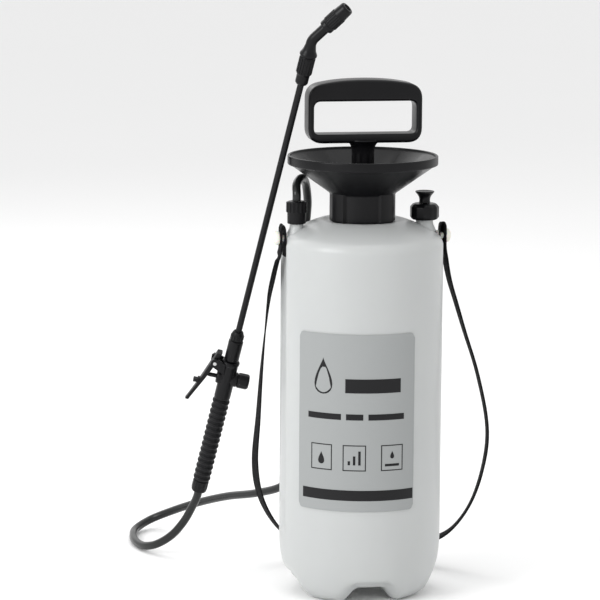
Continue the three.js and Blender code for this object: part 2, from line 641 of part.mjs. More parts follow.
function elbowPipe() {
  const foot = tubeTo + gap * 2 + 1.8;
  const flange = turned([[0, foot], [5.6, foot], [5.6, upperNutEnd + gap], [8.7, upperNutEnd + gap],
    [8.7, upperNutEnd + 2.6], [6.6, upperNutEnd + 6], [elbowPipeRadius, elbowBendAt - 5],
    [0, elbowBendAt - 5]], 12);
  const bendRadius = 14;
  const turn = THREE.MathUtils.degToRad(nozzleTurn);
  const straight = bendRadius * Math.tan(turn / 2);
  const start = elbowBendAt - straight;
  const points = Array.from({ length: 7 }, (_, i) => {
    const angle = (turn * i) / 6;
    return new THREE.Vector3(bendRadius * (1 - Math.cos(angle)), 0, start + bendRadius * Math.sin(angle));
  });
  const end = new THREE.Vector3(Math.sin(turn), 0, Math.cos(turn)).multiplyScalar(nozzleFrom + 8)
    .add(new THREE.Vector3(0, 0, elbowBendAt));
  const route = new THREE.CatmullRomCurve3([new THREE.Vector3(0, 0, elbowBendAt - 9), ...points,
    new THREE.Vector3().lerpVectors(points[6], end, 0.5), end], false, 'centripetal');
  const bend = swept(circle(elbowPipeRadius, 12), route, 8);
  const passage = swept(circle(1.8, 5), route, 8);
  return cut(join(flange, bend), passage, rod(1.8, foot - 1, elbowBendAt - 8, 6));
}

// The nozzle's pieces are built along Z from the bend.
function nozzleCap() {
  const body = cut(join(
    turned([[0, nozzleFrom], [7.2, nozzleFrom], [7.6, nozzleFrom + 1], [7.6, nozzleFrom + 5],
      [0, nozzleFrom + 5]], 12),
    raised(fluted(nozzleRadius, 0.7, 12), nozzleFrom + 5.6, nozzleFrom + 18),
    rod(7, nozzleFrom + 4.8, nozzleFrom + 6, 12),
    turned([[0, nozzleFrom + 17.8], [7.6, nozzleFrom + 17.8], [6.9, nozzleEnd - 1], [6.4, nozzleEnd],
      [0, nozzleEnd]], 12)));
  return cut(body, rod(elbowPipeRadius + runGap, nozzleFrom - 1, nozzleFrom + 9, 12),
    rod(5.8, nozzleFrom + 9, nozzleEnd - 6, 12), rod(0.9, 0, nozzleEnd + 1, 10), rod(3.6,
      nozzleEnd - 2.5, nozzleEnd + 1, 12));
}

function nozzleCore() {
  const foot = nozzleFrom + 8 + 2.2;
  return turned([[0, foot], [4.6, foot], [4.6, foot + 5], [2.6, foot + 6], [2, nozzleEnd - 9],
    [0, nozzleEnd - 8]], 12);
}

// ---------- the assembly ----------
const object = new THREE.Group();
const tank = new THREE.Group();
const pump = new THREE.Group();
object.add(tank, pump);

piece('tank', tankSolid(), tankWhite, tank);
piece('funnel_collar', funnelCollar(), blackPlastic, tank);
piece('neck_gasket', tube(neckRadius, neckRadius - neckWall + 0.5, neckTopZ + gap,
  neckTopZ + gap + gasketThick),
  sealRubber, tank);
piece('strap_stud_left', strapStud(-1), studWhite, tank);
piece('strap_stud_right', strapStud(1), studWhite, tank);
piece('outlet_fitting', outletFitting(), innerPlastic, tank);
piece('outlet_nut', outletNut(), blackPlastic, tank);
piece('outlet_gasket', tube(6.6, outletBore + 0.2, outletSpigotTopZ + gap, outletSpigotTopZ + 2.6),
  sealRubber, tank,
  [outletX, 0, 0]);
piece('dip_tube', tube(3, 2, dipFootZ + 12, dipTopZ, 12), innerPlastic, tank, [outletX, 0, 0]);
piece('dip_strainer', cut(rod(4.6, dipFootZ, dipFootZ + 12 - gap, 12), rod(3.4, dipFootZ + 2,
  dipFootZ + 13, 12),
  ...[0, 60, 120].map((turn) => block(12, 1.4, 5, [0, 0, dipFootZ + 6]).rotate([0, 0, turn]))),
    innerPlastic, tank,
[outletX, 0, 0]);
piece('relief_cap', reliefCap(), blackPlastic, tank);
piece('relief_stem', reliefStem(), blackPlastic, tank);
piece('relief_seal', tube(5.4, 0.9, reliefSeatZ + gap, reliefSeatZ + gap + 2, 12), sealRubber, tank,
  [reliefX, 0, 0]);
piece('relief_spring', spring(3.6, 0.5, reliefSpringFoot, reliefRoofZ - gap, 4), steel, tank,
  [reliefX, 0, 0]);

piece('cylinder_gasket', tube(throatRadius - 1, cylinderRadius + gap, ledgeTopZ + gap,
  ledgeTopZ + gap + gasketThick, 32),
  sealRubber, pump);
piece('pump_cylinder', pumpCylinder(), innerPlastic, pump);
piece('check_valve', checkValve(), sealRubber, pump);
piece('rod_guide', rodGuide(), satinBlack, pump);
piece('rod_wiper', tube(9, rodRadius + runGap, guideTopZ + gap, guideTopZ + gap + 3, 12), sealRubber, pump);
piece('pump_nut', pumpNut(), satinBlack, pump);
piece('pump_rod', pumpRod(), innerPlastic, pump);
piece('piston', piston(), satinBlack, pump);
piece('piston_seal', tube(boreRadius - runGap, boreRadius - 4 + gap, pistonFootZ + 4 + gap,
  pistonFootZ + 8 - gap, 12),
  sealRubber, pump);
piece('rod_clip', tube(8, rodRadius + gap, pistonFootZ - 2 - gap, pistonFootZ - gap, 12), steel, pump);
piece('pump_handle', pumpHandle(), blackPlastic, pump);
piece('handle_pin', rod(1.6, -shankRadius + 0.8, shankRadius - 0.8, 12).rotate([0, 90, 0]), steel, pump,
  [0, 0, pinZ]);

// The lance stands at its own slant; its trigger side is turned by a few degrees.
const lance = new THREE.Group();
const aside = new THREE.Vector3(1, 0, 0).applyAxisAngle(UP, THREE.MathUtils.degToRad(-triggerFacing));
const lanceX = aside.clone().addScaledVector(lanceDirection, -aside.dot(lanceDirection)).normalize();
const lanceY = new THREE.Vector3().crossVectors(lanceDirection, lanceX);
lance.quaternion.setFromRotationMatrix(new THREE.Matrix4().makeBasis(lanceX, lanceY, lanceDirection));
lance.position.copy(lanceFoot);
object.add(lance);

piece('grip_end_cap', gripEndCap(), blackPlastic, lance);
piece('hose_barb', hoseBarb(), innerPlastic, lance);
piece('grip_sleeve', gripSleeve(), satinBlack, lance);
piece('valve_body', valveBody(), blackPlastic, lance);
piece('grip_filter', cut(rod(2.9, gripEnd - 50, gripEnd, 14), rod(2, gripEnd - 48, gripEnd + 1, 12)),
  innerPlastic, lance);
piece('valve_cap', valveCap(), blackPlastic, lance);
piece('valve_stem', valveStem(), blackPlastic, lance);
piece('valve_seal', tube(4.8, 3.1, 1.4 + gap, 3.2 - gap, 12).rotate([0, 90, 0]), sealRubber, lance,
  [0, 0, valveAxisAt]);
piece('valve_spring', spring(3.4, 0.5, 10.4, knobFrom + knobLength - 2.4 - gap, 4).rotate([0, 90, 0]),
  steel, lance,
  [0, 0, valveAxisAt]);
piece('trigger_lever', triggerLever(), blackPlastic, lance);
piece('trigger_pin', rod(pinRadius, -pinReach, pinReach, 14).rotate([90, 0, 0]), steel, lance,
  [-pivotOut, 0, pivotAt]);
piece('trigger_lock', triggerLock(), satinBlack, lance);
piece('lance_socket', lanceSocket(), blackPlastic, lance);
piece('lance_seal', tube(4.6, tubeRadius + gap, socketEnd + 4 + gap, socketEnd + 5.4, 12), sealRubber,
  lance);
piece('lower_nut', lowerNut(), blackPlastic, lance);
piece('lance_tube', tube(tubeRadius, tubeRadius - tubeWall, tubeFrom, tubeTo, 12), satinBlack, lance);
piece('upper_nut', upperNut(), blackPlastic, lance);
piece('elbow_seal', tube(5.6, 2.2, tubeTo + gap, tubeTo + gap + 1.8, 12), sealRubber, lance);
piece('elbow_pipe', elbowPipe(), blackPlastic, lance);

const nozzle = new THREE.Group();
nozzle.position.set(0, 0, elbowBendAt);
nozzle.rotation.y = THREE.MathUtils.degToRad(nozzleTurn);
lance.add(nozzle);
piece('nozzle_cap', nozzleCap(), blackPlastic, nozzle);
piece('nozzle_core', nozzleCore(), innerPlastic, nozzle);
piece('nozzle_seal', tube(5.5, 1, nozzleFrom + 9.2, nozzleFrom + 10, 12), sealRubber, nozzle);

// ---------- hose, strap and label ----------
const through = (route) => new THREE.CatmullRomCurve3(route.map((p) => new THREE.Vector3(...p)), false,
  'centripetal');

function hose() {
  const behind = (distance) => lanceFoot.clone().addScaledVector(lanceDirection, -distance).toArray();
  const route = [...hoseRoute, behind(8), behind(2 * gap)];
  return swept(circle(hoseRadius, 8), through(route), 54);
}

function strap() {
  const curve = through(strapRoute);
  const steps = 48;
  const middle = new THREE.Vector3(0, 0, 200);
  const ends = [];
  for (let i = 0; i <= steps; i += 1) {
    const centre = curve.getPointAt(i / steps);
    const along = curve.getTangentAt(i / steps);
    const outward = new THREE.Vector3(centre.x, 0, centre.z - middle.z).normalize();
    const across = new THREE.Vector3().crossVectors(along, outward).normalize();
    const out = new THREE.Vector3().crossVectors(across, along).normalize();
    ends.push([[-1, -1], [1, -1], [1, 1], [-1, 1]].map(([w, t]) => centre.clone()
      .addScaledVector(across, (w * strapWidth) / 2).addScaledVector(out, (t * strapThick) / 2)));
  }
  const positions = [];
  const face = (a, b, c) => positions.push(...a.toArray(), ...c.toArray(), ...b.toArray());
  for (let i = 0; i < steps; i += 1) {
    for (let k = 0; k < 4; k += 1) {
      const [a, b, c, d] = [ends[i][k], ends[i][(k + 1) % 4], ends[i + 1][(k + 1) % 4], ends[i + 1][k]];
      face(a, b, c);
      face(a, c, d);
    }
  }
  face(ends[0][0], ends[0][2], ends[0][1]);
  face(ends[0][0], ends[0][3], ends[0][2]);
  face(ends[steps][0], ends[steps][1], ends[steps][2]);
  face(ends[steps][0], ends[steps][2], ends[steps][3]);
  const geometry = new THREE.BufferGeometry();
  geometry.setAttribute('position', new THREE.BufferAttribute(new Float32Array(positions), 3));
  return toSolid(geometry);
}

function label() {
  const steps = 18;
  const angles = Array.from({ length: steps + 1 }, (_, i) =>
    THREE.MathUtils.degToRad(labelMiddle - labelHalfAngle + (2 * labelHalfAngle * i) / steps));
  const at = (radius, angle) => [radius * Math.cos(angle), radius * Math.sin(angle)];
  const outer = tankRadius + gap + labelThick;
  return raised([...angles.map((angle) => at(outer, angle)),
    ...[...angles].reverse().map((angle) => at(tankRadius + gap, angle))], labelFootZ, labelTopZ);
}

piece('label', label(), labelFilm, tank);
const cords = new THREE.Group();
object.add(cords);
piece('hose', hose(), hoseGrey, cords);
piece('carry_strap', strap(), webbing, cords);

// The whole is moved sideways so that the origin is in the middle of the footprint.
object.updateMatrixWorld(true);
const extent = new THREE.Box3();
object.traverse((node) => {
  if (node.isMesh && node.parent !== cords) extent.expandByObject(node, true);
});
object.position.set(-(extent.min.x + extent.max.x) / 2, -(extent.min.y + extent.max.y) / 2, 0);
object.updateMatrixWorld(true);

export default object;
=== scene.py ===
"""Compression sprayer: the finished look of each piece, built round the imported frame. Metres, +Z up."""
import json
import math

import bmesh
import bpy
from mathutils import Matrix, Vector


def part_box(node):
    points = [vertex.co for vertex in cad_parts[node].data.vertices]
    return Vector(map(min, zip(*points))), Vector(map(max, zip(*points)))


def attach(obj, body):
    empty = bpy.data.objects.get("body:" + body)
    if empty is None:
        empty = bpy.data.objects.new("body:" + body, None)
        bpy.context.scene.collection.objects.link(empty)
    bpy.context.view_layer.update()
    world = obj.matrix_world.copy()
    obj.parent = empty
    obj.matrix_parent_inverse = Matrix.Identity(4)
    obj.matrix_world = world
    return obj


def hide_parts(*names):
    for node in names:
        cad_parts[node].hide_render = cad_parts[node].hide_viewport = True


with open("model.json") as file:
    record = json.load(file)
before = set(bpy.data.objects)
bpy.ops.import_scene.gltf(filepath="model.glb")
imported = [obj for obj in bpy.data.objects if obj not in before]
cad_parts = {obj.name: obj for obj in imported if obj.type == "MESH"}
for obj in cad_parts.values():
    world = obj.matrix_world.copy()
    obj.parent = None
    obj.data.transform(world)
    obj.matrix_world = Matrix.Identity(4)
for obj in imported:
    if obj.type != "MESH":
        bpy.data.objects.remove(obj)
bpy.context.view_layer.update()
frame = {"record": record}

bl_info = {
    "name": "Compression Sprayer",
    "version": (1, 0, 0),
    "blender": (4, 5, 0),
    "location": "View3D > Sidebar > Sprayer",
    "description": "Makes the pieces of a hand-pumped sprayer and the studio round it",
    "category": "Add Mesh",
}

MM = 0.001


def middle(node):
    low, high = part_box(node)
    return (Vector(low) + Vector(high)) / 2


CENTRE = middle("pump_cylinder")
AXIS = Vector((CENTRE.x, CENTRE.y, 0))

# ---------- the lance's own frame ----------
LANCE_FOOT = AXIS + Vector((-143.6, 140, 76.3)) * MM
LANCE_Z = Vector((0.1608, -0.3448, 0.9248)).normalized()
TRIGGER_FACING = math.radians(11)
ASIDE = Vector((math.cos(TRIGGER_FACING), -math.sin(TRIGGER_FACING), 0))
LANCE_X = (ASIDE - LANCE_Z * ASIDE.dot(LANCE_Z)).normalized()
LANCE_Y = LANCE_Z.cross(LANCE_X)
NOZZLE_TURN = math.radians(32)
BEND_AT = 523


def placed(origin, x, y, z):
    """A matrix from a piece's own millimetres to the frame's metres."""
    turn = Matrix((x, y, z)).transposed().to_4x4()
    return Matrix.Translation(origin) @ turn @ Matrix.Scale(MM, 4)


STAND = placed(AXIS, Vector((1, 0, 0)), Vector((0, 1, 0)), Vector((0, 0, 1)))
LANCE = placed(LANCE_FOOT, LANCE_X, LANCE_Y, LANCE_Z)
NOZZLE = LANCE @ Matrix.Translation((0, 0, BEND_AT)) @ Matrix.Rotation(NOZZLE_TURN, 4, "Y")
ACROSS = Matrix.Rotation(math.pi / 2, 4, "Y")
UPRIGHT = Matrix.Rotation(math.pi / 2, 4, "X")

# ---------- routes, in millimetres from the tank's axis ----------
HOSE_ROUTE = [
    (-66.5, 0, 397.5), (-66.5, 0, 404), (-65.5, 7, 412), (-61.5, 15, 416.2), (-56.5, 24, 416.6), (-52, 34,
                                                            411.5),
    (-48.5, 44, 401), (-46, 53, 388), (-45, 62, 375.5), (-44.5, 70.5, 362), (-43, 76.5, 345), (-40, 79, 318),
    (-37, 80, 285), (-35, 81, 240), (-34, 82, 190), (-35, 86, 145), (-42, 98, 108), (-57, 124, 82), (-78, 160,
                                                            67),
    (-103, 207, 54), (-128, 252, 38), (-152, 286, 22), (-174, 296, 11), (-191, 280, 5.5), (-198, 250, 4.8),
    (-199, 220, 4.8), (-193, 194, 6), (-182, 176, 12), (-168, 164, 24), (-156.5, 156.5, 40), (-149.5, 150.5,
                                                            55),
]
STRAP_ROUTE = [
    (-78.8, 0, 342), (-78.6, 0, 354), (-78.7, 0, 366), (-79.4, 0, 371), (-80.9, 0, 373), (-82.3, 0, 370.5),
    (-82.6, 0, 364), (-82.6, 0.3, 355.6), (-82.6, 1, 348), (-84.8, 6, 336), (-87, 14, 320), (-89, 27, 296),
    (-90.5, 40, 262), (-92, 55, 215), (-93, 68, 165), (-94, 80, 118), (-88, 92, 84), (-74, 104, 54), (-54,
                                                            114, 30),
    (-28, 121, 13), (4, 124, 9), (36, 120, 9), (66, 108, 14), (90, 88, 26), (108, 66, 42), (124, 44, 74),
    (134, 30, 116), (136, 22, 156), (124, 17, 214), (108, 13, 262), (98, 9, 292), (91, 6, 313), (86, 3, 334),
    (83, 0.5, 348), (82.6, 0.2, 355.6), (82.6, 0, 364), (82.3, 0, 370.5), (80.9, 0, 373), (79.4, 0, 371),
    (78.7, 0, 366), (78.6, 0, 354), (78.8, 0, 342),
]


# ---------- making meshes ----------
def settle(name, bm, material, sharp=32):
    """Turn a bmesh in the frame's metres into a finished object."""
    bmesh.ops.remove_doubles(bm, verts=bm.verts, dist=1e-6)
    bmesh.ops.recalc_face_normals(bm, faces=bm.faces)
    mesh = bpy.data.meshes.new(name)
    bm.to_mesh(mesh)
    bm.free()
    mesh.shade_smooth()
    mesh.set_sharp_from_angle(angle=math.radians(sharp))
    mesh.materials.append(material)
    piece = bpy.data.objects.new(name, mesh)
    bpy.context.scene.collection.objects.link(piece)
    return piece


def softened(corners, steps=4):
    """An outline of (radius, height, rounding) corners with its corners rounded."""
    points = []
    count = len(corners)
    for i, (r, z, rounding) in enumerate(corners):
        here = Vector((r, z))
        before = Vector(corners[i - 1][:2])
        after = Vector(corners[(i + 1) % count][:2])
        if rounding == 0 or (i in (0, count - 1) and r == 0):
            points.append(here)
            continue
        back = min(rounding, (before - here).length * 0.48)
        ahead = min(rounding, (after - here).length * 0.48)
        start = here + (before - here).normalized() * back
        end = here + (after - here).normalized() * ahead
        for k in range(steps + 1):
            t = k / steps
            points.append((1 - t) ** 2 * start + 2 * t * (1 - t) * here + t ** 2 * end)
    return [(p.x, p.y) for p in points]


def add_turned(bm, profile, place, sides=64, shape=None):
    """Add an outline turned about Z; shape(radius, height, angle) may change each point's radius and height."""
    rings = []
    for r, z in profile:
        if r < 1e-6:
            _, high = shape(0, z, 0) if shape else (0, z)
            rings.append([bm.verts.new(place @ Vector((0, 0, high)))])
            continue
        ring = []
        for k in range(sides):
            angle = 2 * math.pi * k / sides
            radius, high = shape(r, z, angle) if shape else (r, z)
            ring.append(bm.verts.new(place @ Vector((radius * math.cos(angle), radius * math.sin(angle),
                                                     high))))
        rings.append(ring)
    closed = not (len(rings[0]) == 1 and len(rings[-1]) == 1)
    pairs = zip(rings, rings[1:] + ([rings[0]] if closed else []))
    for low, high in pairs:
        for k in range(sides):
            a, b = low[k % len(low)], low[(k + 1) % len(low)]
            c, d = high[(k + 1) % len(high)], high[k % len(high)]
            corners = [v for i, v in enumerate((a, b, c, d)) if v not in (a, b, c, d)[:i]]
            if len(corners) > 2:
                bm.faces.new(corners)


def skin(bm, rings):
    """Join rings of the same length with faces and close both ends."""
    for low, high in zip(rings, rings[1:]):
        for k in range(len(low)):
            beside = (k + 1) % len(low)
            bm.faces.new((low[k], low[beside], high[beside], high[k]))
    bm.faces.new(rings[0][::-1])
    bm.faces.new(rings[-1])


def add_swept(bm, points, section, place):
    """Add a section of (across, outward) points swept along a line of points."""
    rings = []
    normal = None
    for i, point in enumerate(points):
        along = (points[min(i + 1, len(points) - 1)] - points[max(i - 1, 0)]).normalized()
        if normal is None:
            normal = along.orthogonal()
        normal = (normal - along * normal.dot(along)).normalized()
        across = along.cross(normal)
        rings.append([bm.verts.new(place @ (point + across * u + normal * v)) for u, v in section])
    skin(bm, rings)


def add_slab(bm, outline, low, high, place, bevel=0.8):
    """Add a flat outline raised from low to high, with bevelled rims."""
    inner = Vector((sum(x for x, _ in outline) / len(outline), sum(y for _, y in outline) / len(outline)))
    rings = []
    for z, inset in ((low, bevel), (low + bevel, 0), (high - bevel, 0), (high, bevel)):
        ring = []
        for x, y in outline:
            away = Vector((x, y)) - inner
            spot = inner + away * (1 - inset / max(away.length, 1e-6))
            ring.append(bm.verts.new(place @ Vector((spot.x, spot.y, z))))
        rings.append(ring)
    skin(bm, rings)


def turned(name, corners, place, material, sides=64, shape=None, steps=4):
    bm = bmesh.new()
    add_turned(bm, softened(corners, steps), place, sides, shape)
    return settle(name, bm, material)


def circle(radius, count=24):
    return [(radius * math.cos(2 * math.pi * k / count), radius * math.sin(2 * math.pi * k / count))
            for k in range(count)]


def smooth_route(points, per_span=8):
    """A centripetal Catmull-Rom line through the points, as the frame's own routes are."""
    points = [Vector(p) for p in points]
    points = [points[0] * 2 - points[1], *points, points[-1] * 2 - points[-2]]
    line = []
    for a, b, c, d in zip(points, points[1:], points[2:], points[3:]):
        ta = 0
        tb = ta + (b - a).length ** 0.5
        tc = tb + (c - b).length ** 0.5
        td = tc + (d - c).length ** 0.5
        for k in range(per_span):
            t = tb + (tc - tb) * k / per_span
            ab = a.lerp(b, (t - ta) / (tb - ta))
            bc = b.lerp(c, (t - tb) / (tc - tb))
            cd = c.lerp(d, (t - tc) / (td - tc))
            abc = ab.lerp(bc, (t - ta) / (tc - ta))
            bcd = bc.lerp(cd, (t - tb) / (td - tb))
            line.append(abc.lerp(bcd, (t - tb) / (tc - tb)))
    return line + [points[-2]]


# ---------- node trees ----------
def wire(tree, *pairs):
    """Link pairs of (node, output, node, input)."""
    for source, output, target, entry in pairs:
        tree.links.new(source.outputs[output], target.inputs[entry])


def new_tree(name, inputs):
    tree = bpy.data.node_groups.new(name, "GeometryNodeTree")
    for label, kind, default in inputs:
        tree.interface.new_socket(label, in_out="INPUT", socket_type=kind)
        if default is not None:
            tree.interface.items_tree[-1].default_value = default
    tree.interface.new_socket("Geometry", in_out="OUTPUT", socket_type="NodeSocketGeometry")
    return tree


def finish_tree(tree, copies, source):
    """End a tree in Realize Instances and Set Material."""
    nodes = tree.nodes
    realize = nodes.new("GeometryNodeRealizeInstances")
    paint = nodes.new("GeometryNodeSetMaterial")
    out = nodes.new("NodeGroupOutput")
    wire(tree, (copies, 0, realize, 0), (realize, 0, paint, "Geometry"), (source, "Material", paint,
                                                            "Material"),
         (paint, 0, out, "Geometry"))
    return tree


def rib_ring_tree():
    """Upright round ribs standing in a ring."""
    if "rib_ring" in bpy.data.node_groups:
        return bpy.data.node_groups["rib_ring"]
    tree = new_tree("rib_ring", [
        ("Count", "NodeSocketInt", 16), ("Ring Radius", "NodeSocketFloat", 8.0),
        ("Rib Radius", "NodeSocketFloat", 0.8), ("Length", "NodeSocketFloat", 10.0),
        ("Height", "NodeSocketFloat", 0.0), ("Material", "NodeSocketMaterial", None)])
    nodes = tree.nodes
    source = nodes.new("NodeGroupInput")
    ring = nodes.new("GeometryNodeMeshCircle")
    rib = nodes.new("GeometryNodeMeshCylinder")
    rib.inputs["Vertices"].default_value = 10
    lift = nodes.new("ShaderNodeCombineXYZ")
    move = nodes.new("GeometryNodeTransform")
    copies = nodes.new("GeometryNodeInstanceOnPoints")
    wire(tree, (source, "Count", ring, "Vertices"), (source, "Ring Radius", ring, "Radius"),
         (source, "Rib Radius", rib, "Radius"), (source, "Length", rib, "Depth"), (source, "Height", lift,
                                                            "Z"),
         (ring, "Mesh", move, "Geometry"), (lift, 0, move, "Translation"), (move, 0, copies, "Points"),
         (rib, "Mesh", copies, "Instance"))
    return finish_tree(tree, copies, source)


def ring_stack_tree():
    """Round rings stacked along Z."""
    if "ring_stack" in bpy.data.node_groups:
        return bpy.data.node_groups["ring_stack"]
    tree = new_tree("ring_stack", [
        ("Count", "NodeSocketInt", 14), ("Ring Radius", "NodeSocketFloat", 8.0),
        ("Ring Thickness", "NodeSocketFloat", 1.6), ("Pitch", "NodeSocketFloat", 6.0),
        ("Height", "NodeSocketFloat", 0.0), ("Material", "NodeSocketMaterial", None)])
    nodes = tree.nodes
    source = nodes.new("NodeGroupInput")
    loop = nodes.new("GeometryNodeCurvePrimitiveCircle")
    loop.inputs["Resolution"].default_value = 56
    section = nodes.new("GeometryNodeCurvePrimitiveCircle")
    section.inputs["Resolution"].default_value = 12
    ring = nodes.new("GeometryNodeCurveToMesh")
    start = nodes.new("ShaderNodeCombineXYZ")
    step = nodes.new("ShaderNodeCombineXYZ")
    line = nodes.new("GeometryNodeMeshLine")
    copies = nodes.new("GeometryNodeInstanceOnPoints")
    wire(tree, (source, "Ring Radius", loop, "Radius"), (source, "Ring Thickness", section, "Radius"),
         (loop, 0, ring, "Curve"), (section, 0, ring, "Profile Curve"), (source, "Height", start, "Z"),
         (source, "Pitch", step, "Z"), (source, "Count", line, "Count"), (start, 0, line, "Start Location"),
         (step, 0, line, "Offset"), (line, 0, copies, "Points"), (ring, 0, copies, "Instance"))
    return finish_tree(tree, copies, source)


def grown(name, tree, values, material, place):
    """Run a tree with its named inputs and keep the result as a plain mesh in the frame."""
    base = bpy.data.meshes.new(name + "_seed")
    seed = bpy.data.objects.new(name + "_seed", base)
    bpy.context.scene.collection.objects.link(seed)
    modifier = seed.modifiers.new("grow", "NODES")
    modifier.node_group = tree
    sockets = {item.name: item.identifier for item in tree.interface.items_tree if item.in_out == "INPUT"}
    for label, value in values.items():
        modifier[sockets[label]] = value
    modifier[sockets["Material"]] = material
    bpy.context.view_layer.update()
    graph = bpy.context.evaluated_depsgraph_get()
    mesh = bpy.data.meshes.new_from_object(seed.evaluated_get(graph))
    seed.modifiers.remove(modifier)
    bpy.data.objects.remove(seed)
    mesh.name = name
    mesh.transform(place)
    mesh.shade_smooth()
    mesh.set_sharp_from_angle(angle=math.radians(50))
    if not mesh.materials:
        mesh.materials.append(material)
    piece = bpy.data.objects.new(name, mesh)
    bpy.context.scene.collection.objects.link(piece)
    return piece


# ---------- materials ----------
def shader_group(name, inputs, outputs):
    group = bpy.data.node_groups.new(name, "ShaderNodeTree")
    for label, kind, default in inputs:
        group.interface.new_socket(label, in_out="INPUT", socket_type=kind).default_value = default
    for label, kind in outputs:
        group.interface.new_socket(label, in_out="OUTPUT", socket_type=kind)
    return group, group.nodes.new("NodeGroupInput"), group.nodes.new("NodeGroupOutput")


def moulding_group():
    """Fine grain and slow mottling of a moulded surface."""
    if "moulding" in bpy.data.node_groups:
        return bpy.data.node_groups["moulding"]
    group, source, out = shader_group(
        "moulding",
        [("Grain Size", "NodeSocketFloat", 900.0), ("Mottle Size", "NodeSocketFloat", 25.0),
         ("Rough Low", "NodeSocketFloat", 0.3), ("Rough High", "NodeSocketFloat", 0.5),
         ("Dark", "NodeSocketColor", (0.01, 0.01, 0.01, 1)), ("Light", "NodeSocketColor", (0.03, 0.03, 0.03,
                                                            1))],
        [("Color", "NodeSocketColor"), ("Roughness", "NodeSocketFloat"), ("Height", "NodeSocketFloat")])
    nodes = group.nodes
    where = nodes.new("ShaderNodeTexCoord")
    grain = nodes.new("ShaderNodeTexNoise")
    grain.inputs["Detail"].default_value = 3
    mottle = nodes.new("ShaderNodeTexNoise")
    mottle.inputs["Detail"].default_value = 4
    mix = nodes.new("ShaderNodeMix")
    mix.data_type = "RGBA"
    colour_a, colour_b, colour_out = 6, 7, 2
    span = nodes.new("ShaderNodeMapRange")
    span.inputs["From Min"].default_value = 0.3
    span.inputs["From Max"].default_value = 0.7
    wire(group, (where, "Object", grain, "Vector"), (where, "Object", mottle, "Vector"),
         (source, "Grain Size", grain, "Scale"), (source, "Mottle Size", mottle, "Scale"),
         (mottle, "Fac", mix, 0), (source, "Dark", mix, colour_a), (source, "Light", mix, colour_b),
         (mottle, "Fac", span, "Value"), (source, "Rough Low", span, "To Min"),
         (source, "Rough High", span, "To Max"), (mix, colour_out, out, "Color"),
         (span, "Result", out, "Roughness"), (grain, "Fac", out, "Height"))
    return group


def moulded(name, dark, light, rough=(0.35, 0.5), grain=900.0, bump=0.08, mottle=25.0, **uniform):
    """A moulded plastic, rubber or metal finish."""
    if name in bpy.data.materials:
        return bpy.data.materials[name]
    material = bpy.data.materials.new(name)
    material.use_nodes = True
    nodes = material.node_tree.nodes
    shader = nodes["Principled BSDF"]
    surface = nodes.new("ShaderNodeGroup")
    surface.node_tree = moulding_group()
    for socket, value in {"Grain Size": grain, "Mottle Size": mottle, "Rough Low": rough[0],
                          "Rough High": rough[1],
                          "Dark": (*dark, 1), "Light": (*light, 1)}.items():
        surface.inputs[socket].default_value = value
    raise_up = nodes.new("ShaderNodeBump")
    raise_up.inputs["Strength"].default_value = bump
    raise_up.inputs["Distance"].default_value = 0.0004
    wire(material.node_tree, (surface, "Color", shader, "Base Color"), (surface, "Roughness", shader,
                                                            "Roughness"),
         (surface, "Height", raise_up, "Height"), (raise_up, "Normal", shader, "Normal"))
    for socket, value in uniform.items():
        shader.inputs[socket.replace("_", " ")].default_value = value
    return material


def tank_plastic():
    material = moulded("tank_polyethylene", (0.47, 0.485, 0.48), (0.52, 0.535, 0.525), (0.3, 0.38), 300, 0.05,
                       9,
                       Subsurface_Weight=0.35, Subsurface_Scale=0.02, IOR=1.5)
    material.node_tree.nodes["Principled BSDF"].inputs["Subsurface Radius"].default_value = (1.0, 1.0, 0.9)
    return material


def black_plastic():
    return moulded("black_polypropylene", (0.002, 0.002, 0.0025), (0.005, 0.005, 0.006), (0.28, 0.4), 1100,
                   0.12,
                   Specular_IOR_Level=0.2)


def satin_black():
    return moulded("satin_black_plastic", (0.003, 0.003, 0.004), (0.007, 0.007, 0.008), (0.4, 0.54), 1300,
                   0.2,
                   Specular_IOR_Level=0.22)


def hose_vinyl():
    return moulded("hose_vinyl", (0.008, 0.009, 0.009), (0.014, 0.015, 0.015), (0.25, 0.36), 600, 0.05,
                   Coat_Weight=0.1, Specular_IOR_Level=0.3)


def stud_plastic():
    return moulded("stud_polyethylene", (0.7, 0.7, 0.62), (0.8, 0.8, 0.73), (0.35, 0.45), 500, 0.06,
                   Subsurface_Weight=0.3, Subsurface_Scale=0.004)


def inner_plastic():
    return moulded("natural_plastic", (0.66, 0.66, 0.6), (0.76, 0.76, 0.7), (0.35, 0.45), 500, 0.06)


def seal_rubber():
    return moulded("seal_rubber", (0.012, 0.012, 0.012), (0.022, 0.022, 0.022), (0.6, 0.75), 1500, 0.2)


def bare_steel():
    return moulded("bare_steel", (0.5, 0.5, 0.5), (0.62, 0.62, 0.62), (0.22, 0.34), 700, 0.04, Metallic=1.0)


def label_film():
    return moulded("label_film", (0.43, 0.44, 0.44), (0.47, 0.48, 0.48), (0.3, 0.36), 1500, 0.03, 12)


def label_ink():
    return moulded("label_ink", (0.004, 0.004, 0.005), (0.008, 0.008, 0.009), (0.3, 0.38), 1500, 0.03,
                   Specular_IOR_Level=0.25)


